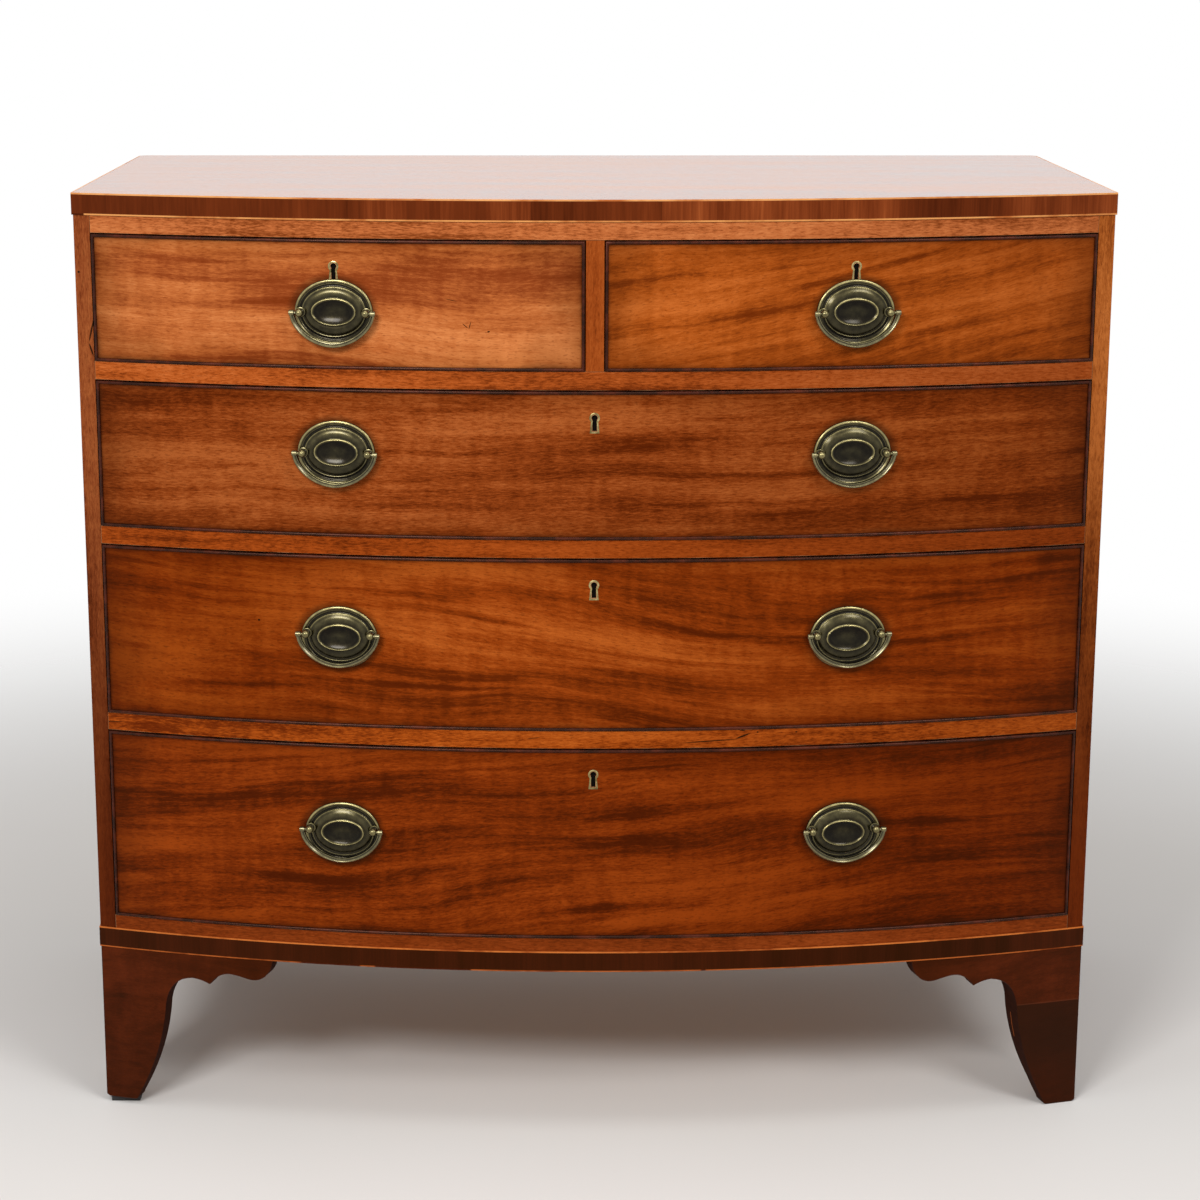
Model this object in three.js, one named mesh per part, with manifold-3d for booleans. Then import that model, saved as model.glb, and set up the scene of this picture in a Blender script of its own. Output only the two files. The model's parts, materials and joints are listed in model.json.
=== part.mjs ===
// Bow front chest of drawers: two short drawers over three long ones, on bracket feet.
// Millimetres, +Z up, front towards -Y. While the pieces are made, y = 0 is the line through
// the front corners of the top and z = 0 is the floor. The finished chest is moved so that
// its origin is on the floor, under the middle of its width and depth.

import * as THREE from 'three';
import { mergeVertices } from 'three/addons/utils/BufferGeometryUtils.js';
import Module from 'manifold-3d';

const wasm = await Module();
wasm.setup();

// Overall plan: straight sides and back, the front one arc of a circle
const topWidth = 1050;
const cornerDepth = 491;
const bowRise = 78;
const topOverhang = 1.5;
const backOverhang = 3;
const topCornerRadius = 6;

// Heights up the front, from the floor
const footHeight = 178;
const bandHeight = 22;
const bottomRailShow = 14.5;
const lowerBayHeight = 205;
const middleBayHeight = 180.5;
const upperBayHeight = 152;
const shortBayHeight = 130;
const railHeight = 18.5;
const topRailHeight = 17.5;
const topThickness = 22;

// Boards of the carcase
const sideThickness = 17;
const partitionThickness = 18;
const backThickness = 10;
const bottomThickness = 18;
const railCornerDepth = 40;
const runnerWidth = 35;
const dustPanelThickness = 8;
const bandThickness = 0.9;
const stopLength = 40;
const stopDepth = 12;
const stopHeight = 5;

// Gaps: glued joints, and the running clearances of a drawer
const seatGap = 0.3;
const runningClearance = 0.4;
const sideClearance = 1;
const topClearance = 1.2;
const backClearance = 12;
const cutOverrun = 5;

// Drawers
const frontThickness = 22;
const liningThickness = 9;
const liningDrop = 4;
const drawerBottomThickness = 6;
const drawerBottomRise = 8;
const bottomTongue = 4;
const beadWidth = 3;
const beadDepth = 8;
const beadProud = 2.2;

// Locks and keyholes
const lockWidth = 64;
const lockHeight = 48;
const lockPlateThickness = 2;
const lockCaseWidth = 50;
const lockCaseHeight = 42;
const lockCaseDepth = 9;
const keyholeRadius = 3.3;
const keyholeSlotWidth = 4.6;
const keyholeSlotLength = 13.5;
const keyholeDrop = 23.5;

// Handles: an oval plate with two posts, and a bail that swings on them
const handleInset = 248;
const shortHandleDrop = 73.2;
const upperHandleDrop = 66;
const middleHandleDrop = 82;
const lowerHandleDrop = 91;
const plateWidth = 79;
const plateHeight = 65;
const plateEdge = 1.2;
const plateRelief = 4.4;
const postSpacing = 66.8;
const upperPostLift = -0.5;
const lowerPostLift = 4;
const postStandoff = 9;
const postCollarRadius = 4.8;
const postCollarHeight = 3.4;
const postNeckRadius = 2.6;
const postBallRadius = 4.5;
const pinRadius = 1.5;
const pinReach = 3;
const pinClearance = 0.3;
const bailWidth = 87;
const bailDrop = 34.5;
const bailBarWidth = 5;
const bailBarDepth = 4.6;
const bailRise = 2.8;
const bailShoulderPower = 1.11;

// Bracket feet
const footWidth = 187;
const bracketThickness = 18;
const footBlockSize = 18;
const footBlockLift = 4;
const rearPlateThickness = 16;
const rearPlateWidth = 110;
const rearPlateToe = 60;

// How finely curves are cut
const bowStepShare = 1 / 20;
const plateSides = 22;
const postSides = 8;
const postArcSteps = 2;
const pinSides = 8;
const bailSteps = 14;
const footCurveSteps = 3;
const cornerSteps = 3;

// Places that follow from the sizes above
const halfWidth = topWidth / 2;
const carcaseHalf = halfWidth - topOverhang;
const bayHalf = carcaseHalf - sideThickness;
const bowRadius = (halfWidth ** 2 + bowRise ** 2) / (2 * bowRise);
const bowCentreY = bowRadius - bowRise;
const bowStep = topWidth * bowStepShare;
const faceInset = topOverhang;
const backY = cornerDepth - backOverhang;
const backPanelY = backY - backThickness;
const railBackY = bowY(carcaseHalf, faceInset) + railCornerDepth;
const innerInset = faceInset + frontThickness;

const lowerBayZ = footHeight + bandHeight + bottomRailShow;
const middleBayZ = lowerBayZ + lowerBayHeight + railHeight;
const upperBayZ = middleBayZ + middleBayHeight + railHeight;
const shortBayZ = upperBayZ + upperBayHeight + railHeight;
const topRailZ = shortBayZ + shortBayHeight;
const carcaseTopZ = topRailZ + topRailHeight;
const partitionHalf = partitionThickness / 2;

// The bowed front: y of the arc that lies a given distance inside the edge of the top
function bowY(x, inset) {
  return bowCentreY - Math.sqrt((bowRadius - inset) ** 2 - x ** 2);
}

// Points along that arc from left to right, at the same places on every piece
function bowLine(fromX, toX, inset) {
  const places = [fromX];
  for (let step = Math.ceil(fromX / bowStep); step * bowStep < toX; step += 1) {
    if (step * bowStep > fromX) places.push(step * bowStep);
  }
  places.push(toX);
  return places.map((x) => [x, bowY(x, inset)]);
}

// Turns and moves a thing made around the origin, looking out along -Y, to a place on the front
function onFront(x, inset, z) {
  const turn = Math.asin(x / (bowRadius - inset));
  return new THREE.Matrix4().makeRotationZ(turn).setPosition(x, bowY(x, inset), z);
}

// Solids from outlines: seen from above, from the front and from the side
function extrude(outline, depth) {
  const isShape = outline instanceof THREE.Shape;
  const shape = isShape ? outline : new THREE.Shape(outline.map((point) => new THREE.Vector2(...point)));
  const options = { depth, bevelEnabled: false, curveSegments: footCurveSteps };
  return new THREE.ExtrudeGeometry(shape, options);
}

function raise(outline, fromZ, toZ) {
  return extrude(outline, toZ - fromZ).translate(0, 0, fromZ);
}

function extrudeFromFront(outline, fromY, toY) {
  return extrude(outline, toY - fromY).rotateX(Math.PI / 2).translate(0, toY, 0);
}

function extrudeFromSide(outline, fromX, toX) {
  const turn = new THREE.Matrix4().makeBasis(
    new THREE.Vector3(0, 1, 0),
    new THREE.Vector3(0, 0, 1),
    new THREE.Vector3(1, 0, 0),
  );
  return extrude(outline, toX - fromX).applyMatrix4(turn).translate(fromX, 0, 0);
}

function block(fromX, toX, fromY, toY, fromZ, toZ) {
  const box = new THREE.BoxGeometry(toX - fromX, toY - fromY, toZ - fromZ);
  return box.translate((fromX + toX) / 2, (fromY + toY) / 2, (fromZ + toZ) / 2);
}

// A board with a bowed front edge and a straight back edge
function bowedBoard(fromX, toX, inset, toY, fromZ, toZ) {
  const outline = [...bowLine(fromX, toX, inset), [toX, toY], [fromX, toY]];
  return raise(outline, fromZ, toZ);
}

// A board bent to the bow, with both faces on arcs
function bentBoard(fromX, toX, frontInset, rearInset, fromZ, toZ) {
  const rear = bowLine(fromX, toX, rearInset).reverse();
  return raise([...bowLine(fromX, toX, frontInset), ...rear], fromZ, toZ);
}

// A skin through rings of points; a loop joins its last ring to its first, a bar has two ends
function skin(rings, isLoop) {
  const count = rings[0].length;
  const positions = rings.flat().flatMap((point) => point.toArray());
  const faces = [];
  const spans = isLoop ? rings.length : rings.length - 1;
  for (let ring = 0; ring < spans; ring += 1) {
    const next = (ring + 1) % rings.length;
    for (let side = 0; side < count; side += 1) {
      const a = ring * count + side;
      const b = ring * count + ((side + 1) % count);
      const c = next * count + ((side + 1) % count);
      const d = next * count + side;
      faces.push(a, b, c, a, c, d);
    }
  }
  if (!isLoop) {
    const last = (rings.length - 1) * count;
    for (let side = 1; side < count - 1; side += 1) {
      faces.push(0, side + 1, side);
      faces.push(last, last + side, last + side + 1);
    }
  }
  const geometry = new THREE.BufferGeometry();
  geometry.setAttribute('position', new THREE.Float32BufferAttribute(positions, 3));
  geometry.setIndex(faces);
  return geometry;
}

// Cuts and joins of closed solids
function toSolid(geometry) {
  const bare = geometry.clone();
  bare.deleteAttribute('normal');
  bare.deleteAttribute('uv');
  const merged = mergeVertices(bare);
  return new wasm.Manifold(new wasm.Mesh({
    numProp: 3,
    vertProperties: Float32Array.from(merged.attributes.position.array),
    triVerts: Uint32Array.from(merged.index.array),
  }));
}

function fromSolid(solid) {
  const mesh = solid.getMesh();
  const geometry = new THREE.BufferGeometry();
  geometry.setAttribute('position', new THREE.Float32BufferAttribute(mesh.vertProperties, 3));
  geometry.setIndex(Array.from(mesh.triVerts));
  return geometry;
}

function join(...geometries) {
  return fromSolid(geometries.map(toSolid).reduce((sum, solid) => sum.add(solid)));
}

function cut(geometry, ...cutters) {
  return fromSolid(cutters.map(toSolid).reduce((rest, solid) => rest.subtract(solid), toSolid(geometry)));
}

function common(geometry, other) {
  return fromSolid(toSolid(geometry).intersect(toSolid(other)));
}

// Finishes, one material for each mesh
const finishes = {
  mahoganyFront: { color: 0x9a4f26, roughness: 0.35, metalness: 0 },
  mahoganyRail: { color: 0xa65c2c, roughness: 0.38, metalness: 0 },
  mahoganySide: { color: 0x7d3f20, roughness: 0.4, metalness: 0 },
  mahoganyTop: { color: 0x8f4a26, roughness: 0.3, metalness: 0 },
  crossBanding: { color: 0x4f2212, roughness: 0.35, metalness: 0 },
  cockBead: { color: 0x3a211b, roughness: 0.4, metalness: 0 },
  footMahogany: { color: 0x5c2815, roughness: 0.42, metalness: 0 },
  oakLining: { color: 0xb08a58, roughness: 0.7, metalness: 0 },
  pine: { color: 0x9b7442, roughness: 0.8, metalness: 0 },
  agedBrass: { color: 0x8a7a4c, roughness: 0.35, metalness: 1 },
  lockBrass: { color: 0xa08a52, roughness: 0.5, metalness: 1 },
};

const chest = new THREE.Group();

function addPiece(name, geometry, finish, parent = chest) {
  const mesh = new THREE.Mesh(geometry, new THREE.MeshStandardMaterial(finishes[finish]));
  mesh.name = name;
  parent.add(mesh);
  return mesh;
}

// Top: one slab that stands a little past the carcase all round, its back corners eased
function topSlab() {
  const outline = bowLine(-halfWidth, halfWidth, 0);
  for (const side of [1, -1]) {
    for (let step = 0; step <= cornerSteps; step += 1) {
      const turn = (side > 0 ? step : cornerSteps - step) / cornerSteps * (Math.PI / 2);
      outline.push([
        side * (halfWidth - topCornerRadius + topCornerRadius * Math.cos(turn)),
        cornerDepth - topCornerRadius + topCornerRadius * Math.sin(turn),
      ]);
    }
  }
  return raise(outline, carcaseTopZ, carcaseTopZ + topThickness);
}

addPiece('top_slab', topSlab(), 'mahoganyTop');

// Sides: upright boards whose front edges carry on the curve of the bow
function side(fromX, toX) {
  return bowedBoard(fromX, toX, faceInset, backY, footHeight + seatGap, carcaseTopZ - seatGap);
}

addPiece('side_left', side(-carcaseHalf, -bayHalf), 'mahoganySide');
addPiece('side_right', side(bayHalf, carcaseHalf), 'mahoganySide');

// Back: boards nailed between the sides, flush with their back edges
const innerHalf = bayHalf - seatGap;
addPiece(
  'back_boards',
  block(-innerHalf, innerHalf, backPanelY, backY, footHeight + seatGap, carcaseTopZ - seatGap),
  'pine',
);

// Rails across the front, housed between the sides. Each rail under a drawer carries
// the small stops that the drawer's front comes up against.
function rail(fromZ, toZ, stopPlaces) {
  const board = bowedBoard(-innerHalf, innerHalf, faceInset, railBackY - seatGap, fromZ, toZ);
  const stops = stopPlaces.map((x) => {
    const halfStop = stopLength / 2;
    const fromY = bowY(Math.abs(x) + halfStop, innerInset + seatGap);
    return block(x - halfStop, x + halfStop, fromY, fromY + stopDepth, toZ - stopHeight, toZ + stopHeight);
  });
  return stops.length > 0 ? join(board, ...stops) : board;
}

const longStops = [-bayHalf / 2, bayHalf / 2];
const shortStops = [-bayHalf * 3 / 4, -bayHalf / 4, bayHalf / 4, bayHalf * 3 / 4];

addPiece('top_rail', rail(topRailZ, carcaseTopZ - seatGap, []), 'mahoganyRail');
addPiece('drawer_rail_upper', rail(shortBayZ - railHeight, shortBayZ, shortStops), 'mahoganyRail');
addPiece('drawer_rail_middle', rail(upperBayZ - railHeight, upperBayZ, longStops), 'mahoganyRail');
addPiece('drawer_rail_lower', rail(middleBayZ - railHeight, middleBayZ, longStops), 'mahoganyRail');
addPiece('bottom_rail', rail(footHeight + seatGap, lowerBayZ, longStops), 'mahoganyRail');

// Partition between the short drawers, which guides both of them
addPiece(
  'centre_partition',
  bowedBoard(
    -partitionHalf,
    partitionHalf,
    faceInset,
    backPanelY - seatGap,
    shortBayZ + seatGap,
    topRailZ - seatGap,
  ),
  'mahoganyRail',
);

// Dust boards behind the rails: a thin panel between two thick runners
function dustBoard(topZ) {
  const bottomZ = topZ - railHeight;
  const panelTop = topZ - (railHeight - dustPanelThickness) / 2;
  const panelBottom = panelTop - dustPanelThickness;
  const runnerInner = innerHalf - runnerWidth;
  const outline = [
    [-innerHalf, bottomZ],
    [-runnerInner, bottomZ],
    [-runnerInner, panelBottom],
    [runnerInner, panelBottom],
    [runnerInner, bottomZ],
    [innerHalf, bottomZ],
    [innerHalf, topZ],
    [runnerInner, topZ],
    [runnerInner, panelTop],
    [-runnerInner, panelTop],
    [-runnerInner, topZ],
    [-innerHalf, topZ],
  ];
  return extrudeFromFront(outline, railBackY, backPanelY - seatGap);
}

addPiece('dust_board_upper', dustBoard(shortBayZ), 'pine');
addPiece('dust_board_middle', dustBoard(upperBayZ), 'pine');
addPiece('dust_board_lower', dustBoard(middleBayZ), 'pine');

// Bottom of the carcase, behind the bottom rail
addPiece(
  'bottom_board',
  block(-innerHalf, innerHalf, railBackY, backPanelY - seatGap, lowerBayZ - bottomThickness, lowerBayZ),
  'pine',
);

// Base band: a thin crossbanded strip laid round the front and both sides
function baseBand() {
  const bandOut = seatGap + bandThickness;
  const outerHalf = carcaseHalf + bandOut;
  const innerLine = bowLine(-carcaseHalf - seatGap, carcaseHalf + seatGap, faceInset - seatGap);
  const outline = [
    [-outerHalf, backY],
    ...bowLine(-outerHalf, outerHalf, faceInset - bandOut),
    [outerHalf, backY],
    [carcaseHalf + seatGap, backY],
    ...innerLine.reverse(),
    [-carcaseHalf - seatGap, backY],
  ];
  return raise(outline, footHeight, footHeight + bandHeight);
}

addPiece('base_band', baseBand(), 'crossBanding');

// Bracket feet. The scrolled outline is given in shares of the bracket's width and height:
// the end of each curve, and the point that bends it.
const bracketStartShare = [0.19, 0];
const bracketCurveShares = [
  { bend: [0.35, 0.34], end: [0.373, 0.66] },
  { bend: [0.4, 0.835], end: [0.535, 0.845] },
  { bend: [0.588, 0.84], end: [0.635, 0.812] },
  { bend: [0.684, 0.89], end: [0.749, 0.89] },
  { bend: [0.786, 0.888], end: [0.853, 0.867] },
  { bend: [0.92, 0.848], end: [0.963, 0.899] },
  { bend: [0.995, 0.938], end: [1, 1] },
];

// The bracket's outline, starting at a corner of the chest and going along one way or the other.
// The spare is how far it runs on past the corner, for a bracket that is then trimmed there.
function bracketOutline(corner, along, spare = 0) {
  const place = ([across, up]) => [corner + along * footWidth * across, footHeight * up];
  const outline = new THREE.Shape();
  outline.moveTo(corner - along * spare, 0);
  outline.lineTo(...place(bracketStartShare));
  for (const { bend, end } of bracketCurveShares) {
    outline.quadraticCurveTo(...place(bend), ...place(end));
  }
  outline.lineTo(corner - along * spare, footHeight);
  return outline;
}

// A front foot: a bracket bent to the bow, one along the side, and a block glued in their corner.
// The bowed bracket's scroll is sawn square to its face, so the cut runs inward towards the back.
function frontFoot(side) {
  const cornerX = side * carcaseHalf;
  const cornerY = bowY(carcaseHalf, faceInset);
  const ends = [cornerX, cornerX - side * (footWidth + bracketThickness)].sort((a, b) => a - b);
  const board = bentBoard(...ends, faceInset, faceInset + bracketThickness, 0, footHeight);
  const toeX = carcaseHalf - footWidth * bracketStartShare[0];
  const sawSlope = Math.tan(Math.asin(toeX / bowRadius));
  const profile = extrudeFromFront(bracketOutline(cornerX, -side, bracketThickness), -topWidth, topWidth);
  profile.applyMatrix4(new THREE.Matrix4().set(
    1, -side * sawSlope, 0, side * sawSlope * bowY(toeX, faceInset),
    0, 1, 0, 0,
    0, 0, 1, 0,
    0, 0, 0, 1,
  ));
  const sideFaces = [cornerX, cornerX - side * bracketThickness].sort((a, b) => a - b);
  const sideBracket = common(
    extrudeFromSide(bracketOutline(cornerY, 1), ...sideFaces),
    block(...sideFaces, cornerY + bracketThickness / 2, cornerY + footWidth, 0, footHeight),
  );
  const blockReaches = [bracketThickness / 2, bracketThickness + footBlockSize];
  const blockFaces = blockReaches.map((reach) => cornerX - side * reach);
  const glueBlock = block(
    ...blockFaces.sort((a, b) => a - b),
    cornerY,
    cornerY + bracketThickness + footBlockSize,
    footBlockLift,
    footHeight,
  );
  return join(common(profile, board), sideBracket, glueBlock);
}

// A rear foot: the side's bracket turned round, and a plain sloping plate across the back
function rearFoot(side) {
  const cornerX = side * carcaseHalf;
  const sideFaces = [cornerX, cornerX - side * bracketThickness].sort((a, b) => a - b);
  const sideBracket = extrudeFromSide(bracketOutline(backY, -1), ...sideFaces);
  const plate = extrudeFromFront(
    [
      [cornerX - side * bracketThickness / 2, 0],
      [cornerX - side * rearPlateToe, 0],
      [cornerX - side * rearPlateWidth, footHeight],
      [cornerX - side * bracketThickness / 2, footHeight],
    ],
    backY - rearPlateThickness,
    backY,
  );
  return join(sideBracket, plate);
}

addPiece('foot_front_left', frontFoot(-1), 'footMahogany');
addPiece('foot_front_right', frontFoot(1), 'footMahogany');
addPiece('foot_rear_left', rearFoot(-1), 'footMahogany');
addPiece('foot_rear_right', rearFoot(1), 'footMahogany');

// Keyhole: a round hole with a slot below it, cut right through a drawer's front
function keyholeCutter() {
  const outline = new THREE.Shape();
  const slotHalf = keyholeSlotWidth / 2;
  const meet = Math.asin(slotHalf / keyholeRadius);
  outline.moveTo(-slotHalf, -keyholeSlotLength);
  outline.lineTo(slotHalf, -keyholeSlotLength);
  outline.absarc(0, 0, keyholeRadius, meet - Math.PI / 2, Math.PI * 3 / 2 - meet, false);
  return extrudeFromFront(outline, -cutOverrun, frontThickness);
}

// Lock: a flat case let into the back of the drawer's front, with a plate over it.
// It is made with the keyhole at the origin and the back of the front at y = 0.
function lockBody(spare) {
  const topZ = keyholeDrop + beadWidth;
  const plate = block(
    -lockWidth / 2 - spare,
    lockWidth / 2 + spare,
    -lockPlateThickness - spare,
    spare,
    topZ - lockHeight - spare,
    topZ + spare,
  );
  const lockCase = block(
    -lockCaseWidth / 2 - spare,
    lockCaseWidth / 2 + spare,
    -lockCaseDepth - spare,
    -lockPlateThickness / 2,
    topZ - lockCaseHeight - spare,
    topZ + spare,
  );
  return join(plate, lockCase);
}

// Post: a collar, a neck and a ball that is bored from its outer side for the bail's pin
const pinInnerX = postSpacing / 2 + postBallRadius - pinReach;

function post(side) {
  const profile = new THREE.Path();
  const ballMeet = Math.asin(postNeckRadius / postBallRadius);
  profile.moveTo(0, 0);
  profile.lineTo(postCollarRadius, 0);
  profile.lineTo(postCollarRadius, postCollarHeight);
  profile.lineTo(postNeckRadius, postCollarHeight);
  profile.absarc(0, postStandoff, postBallRadius, ballMeet - Math.PI / 2, Math.PI / 2, false);
  const points = profile.getPoints(postArcSteps);
  points[points.length - 1].x = 0;
  const body = new THREE.LatheGeometry(points, postSides).rotateX(Math.PI);
  const boreRadius = (pinRadius + pinClearance) / Math.cos(Math.PI / pinSides);
  const boreLength = pinReach + seatGap + cutOverrun;
  const bore = new THREE.CylinderGeometry(boreRadius, boreRadius, boreLength, pinSides);
  bore.rotateZ(Math.PI / 2).translate(pinInnerX - seatGap + boreLength / 2, -postStandoff, 0);
  const bored = cut(body.translate(postSpacing / 2, 0, 0), bore);
  return side > 0 ? bored : bored.rotateZ(Math.PI).rotateX(Math.PI);
}

// Plate: raised rim, hollow, swelling ring and a dished centre inside a raised oval.
// Each pair is a share of the plate's half width and a share of its relief. The line of its
// posts lies a little above or below the oval's middle, as each row of handles was drilled.
const plateProfileShares = [
  [0, 0.5],
  [0.5, 0.75],
  [0.56, 1],
  [0.61, 0.8],
  [0.78, 0.85],
  [0.9, 0.4],
  [0.97, 0.7],
];

function handlePlate(postLift) {
  const radius = plateWidth / 2;
  const points = [
    new THREE.Vector2(0, 0),
    new THREE.Vector2(radius, 0),
    new THREE.Vector2(radius, plateEdge),
    ...plateProfileShares.map(([out, up]) => new THREE.Vector2(radius * out, plateRelief * up)).reverse(),
  ];
  const plate = new THREE.LatheGeometry(points, plateSides).rotateX(Math.PI);
  plate.scale(1, 1, plateHeight / plateWidth).translate(0, 0, -postLift);
  return join(plate, post(-1), post(1));
}

// Bail: a bar bent to half an oval with slim shoulders, its ends turned in as pins that run in
// the posts. It is made around its pivot line, hanging down.
function handleBail() {
  const outerX = (bailWidth - bailBarWidth) / 2;
  const outerZ = bailDrop - bailBarWidth / 2;
  const halfBar = bailBarWidth / 2;
  const halfDeep = bailBarDepth / 2;
  const sectionShares = [[-1, 0.4], [-0.4, 1], [0.4, 1], [1, 0.4], [1, -0.6], [-1, -0.6]];
  const rings = [];
  const addRing = (centre, out) => {
    rings.push(sectionShares.map(([across, forward]) => new THREE.Vector3(
      centre.x + out.x * across * halfBar,
      -forward * halfDeep,
      centre.y + out.y * across * halfBar,
    )));
  };
  addRing(new THREE.Vector2(-outerX, bailRise), new THREE.Vector2(-1, 0));
  for (let step = 0; step <= bailSteps; step += 1) {
    const turn = Math.PI * (1 + step / bailSteps);
    const across = Math.cos(turn);
    const down = Math.abs(Math.sin(turn));
    const out = new THREE.Vector2(across * outerZ, -down * outerX).normalize();
    const slimAcross = Math.sign(across) * Math.abs(across) ** bailShoulderPower;
    const slimDown = down ** bailShoulderPower;
    addRing(new THREE.Vector2(slimAcross * outerX, -slimDown * outerZ), out);
  }
  addRing(new THREE.Vector2(outerX, bailRise), new THREE.Vector2(1, 0));
  const bar = skin(rings, false);
  const pinLength = outerX - pinInnerX;
  const pins = [-1, 1].map((side) => {
    const pin = new THREE.CylinderGeometry(pinRadius, pinRadius, pinLength, pinSides);
    return pin.rotateZ(Math.PI / 2).translate(side * (pinInnerX + pinLength / 2), 0, 0);
  });
  return join(bar, ...pins);
}

const bailGeometry = handleBail();

// Cock bead: a slim frame let in round the edge of a drawer's front, its nose rounded.
// The nose is given in shares of the bead's width and of how far it stands proud.
const beadNoseShares = [[0, 0.4], [0.25, 1], [0.75, 1], [1, 0.4]];

function cockBead(left, right, bottom, top) {
  const places = [
    ...bowLine(left, right, faceInset).map(([x]) => ({ x, z: top })),
    ...bowLine(left, right, faceInset).map(([x]) => ({ x, z: bottom })).reverse(),
  ];
  const nose = beadNoseShares.map(([across, out]) => (
    { across: beadWidth * across, inset: faceInset - beadProud * out }
  ));
  const section = [
    { across: 0, inset: faceInset + beadDepth },
    ...nose,
    { across: beadWidth, inset: faceInset + beadDepth },
  ];
  const rings = places.map(({ x, z }) => section.map(({ across, inset }) => {
    const toMiddleX = x === left ? across : x === right ? -across : 0;
    const toMiddleZ = z === bottom ? across : -across;
    return new THREE.Vector3(x + toMiddleX, bowY(x + toMiddleX, inset), z + toMiddleZ);
  }));
  return skin(rings, true);
}

// A drawer's front: a thick board bent to the bow, rebated all round for the bead,
// with a recess for the lock in its back and the keyhole through it
function drawerFront(left, right, bottom, top, keyX) {
  const rebate = beadWidth + seatGap;
  const rebateInset = faceInset + beadDepth + seatGap;
  const body = bentBoard(left, right, rebateInset, innerInset, bottom, top);
  const face = bentBoard(
    left + rebate,
    right - rebate,
    faceInset,
    (rebateInset + innerInset) / 2,
    bottom + rebate,
    top - rebate,
  );
  const keyZ = top - keyholeDrop - beadWidth;
  const keyhole = keyholeCutter().applyMatrix4(onFront(keyX, faceInset, keyZ));
  const recess = lockBody(seatGap).applyMatrix4(onFront(keyX, innerInset, keyZ));
  const recessMouth = block(
    -lockWidth / 2 - seatGap,
    lockWidth / 2 + seatGap,
    0,
    cutOverrun,
    keyholeDrop + beadWidth - lockHeight - seatGap,
    keyholeDrop + beadWidth + cutOverrun,
  ).applyMatrix4(onFront(keyX, innerInset, keyZ));
  return cut(join(body, face), keyhole, recess, recessMouth);
}

// Sides and back of a drawer in one frame, grooved for the bottom, which slides in under the back
function drawerLining(left, right, bottom, top, rearY) {
  const inner = [left + liningThickness, right - liningThickness];
  const frontInset = innerInset + seatGap;
  const innerRearY = rearY - liningThickness;
  const outline = [
    ...bowLine(left, inner[0], frontInset),
    [inner[0], innerRearY],
    [inner[1], innerRearY],
    ...bowLine(inner[1], right, frontInset),
    [right, rearY],
    [left, rearY],
  ];
  const grooveBottom = bottom + drawerBottomRise - seatGap;
  const grooveTop = bottom + drawerBottomRise + drawerBottomThickness + seatGap;
  const grooveReach = bottomTongue + seatGap;
  const groove = block(
    inner[0] - grooveReach,
    inner[1] + grooveReach,
    -topWidth,
    rearY + cutOverrun,
    grooveBottom,
    grooveTop,
  );
  const underBack = block(...inner, innerRearY, rearY + cutOverrun, bottom - cutOverrun, grooveTop);
  return cut(raise(outline, bottom, top), groove, underBack);
}

function drawerBottom(left, right, bottom, rearY) {
  const reach = liningThickness - bottomTongue;
  const fromZ = bottom + drawerBottomRise;
  const toZ = fromZ + drawerBottomThickness;
  return bowedBoard(left + reach, right - reach, innerInset + seatGap, rearY, fromZ, toZ);
}

// Places a handle on a drawer's front: the plate fixed, the bail free to swing
function addHandle(drawerGroup, name, x, z, postLift) {
  const handle = new THREE.Group();
  handle.applyMatrix4(onFront(x, faceInset - seatGap, z));
  addPiece(`${name}_plate`, handlePlate(postLift), 'agedBrass', handle);
  addPiece(`${name}_bail`, bailGeometry.clone(), 'agedBrass', handle).position.y = -postStandoff;
  drawerGroup.add(handle);
}

// Drawers, from the top down
const handleX = bayHalf - handleInset;
const bays = [
  {
    name: 'short_left',
    left: -bayHalf,
    right: -partitionHalf,
    bottom: shortBayZ,
    height: shortBayHeight,
    handleDrop: shortHandleDrop,
    postLift: upperPostLift,
  },
  {
    name: 'short_right',
    left: partitionHalf,
    right: bayHalf,
    bottom: shortBayZ,
    height: shortBayHeight,
    handleDrop: shortHandleDrop,
    postLift: upperPostLift,
  },
  {
    name: 'upper',
    left: -bayHalf,
    right: bayHalf,
    bottom: upperBayZ,
    height: upperBayHeight,
    handleDrop: upperHandleDrop,
    postLift: upperPostLift,
  },
  {
    name: 'middle',
    left: -bayHalf,
    right: bayHalf,
    bottom: middleBayZ,
    height: middleBayHeight,
    handleDrop: middleHandleDrop,
    postLift: lowerPostLift,
  },
  {
    name: 'lower',
    left: -bayHalf,
    right: bayHalf,
    bottom: lowerBayZ,
    height: lowerBayHeight,
    handleDrop: lowerHandleDrop,
    postLift: lowerPostLift,
  },
];

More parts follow.
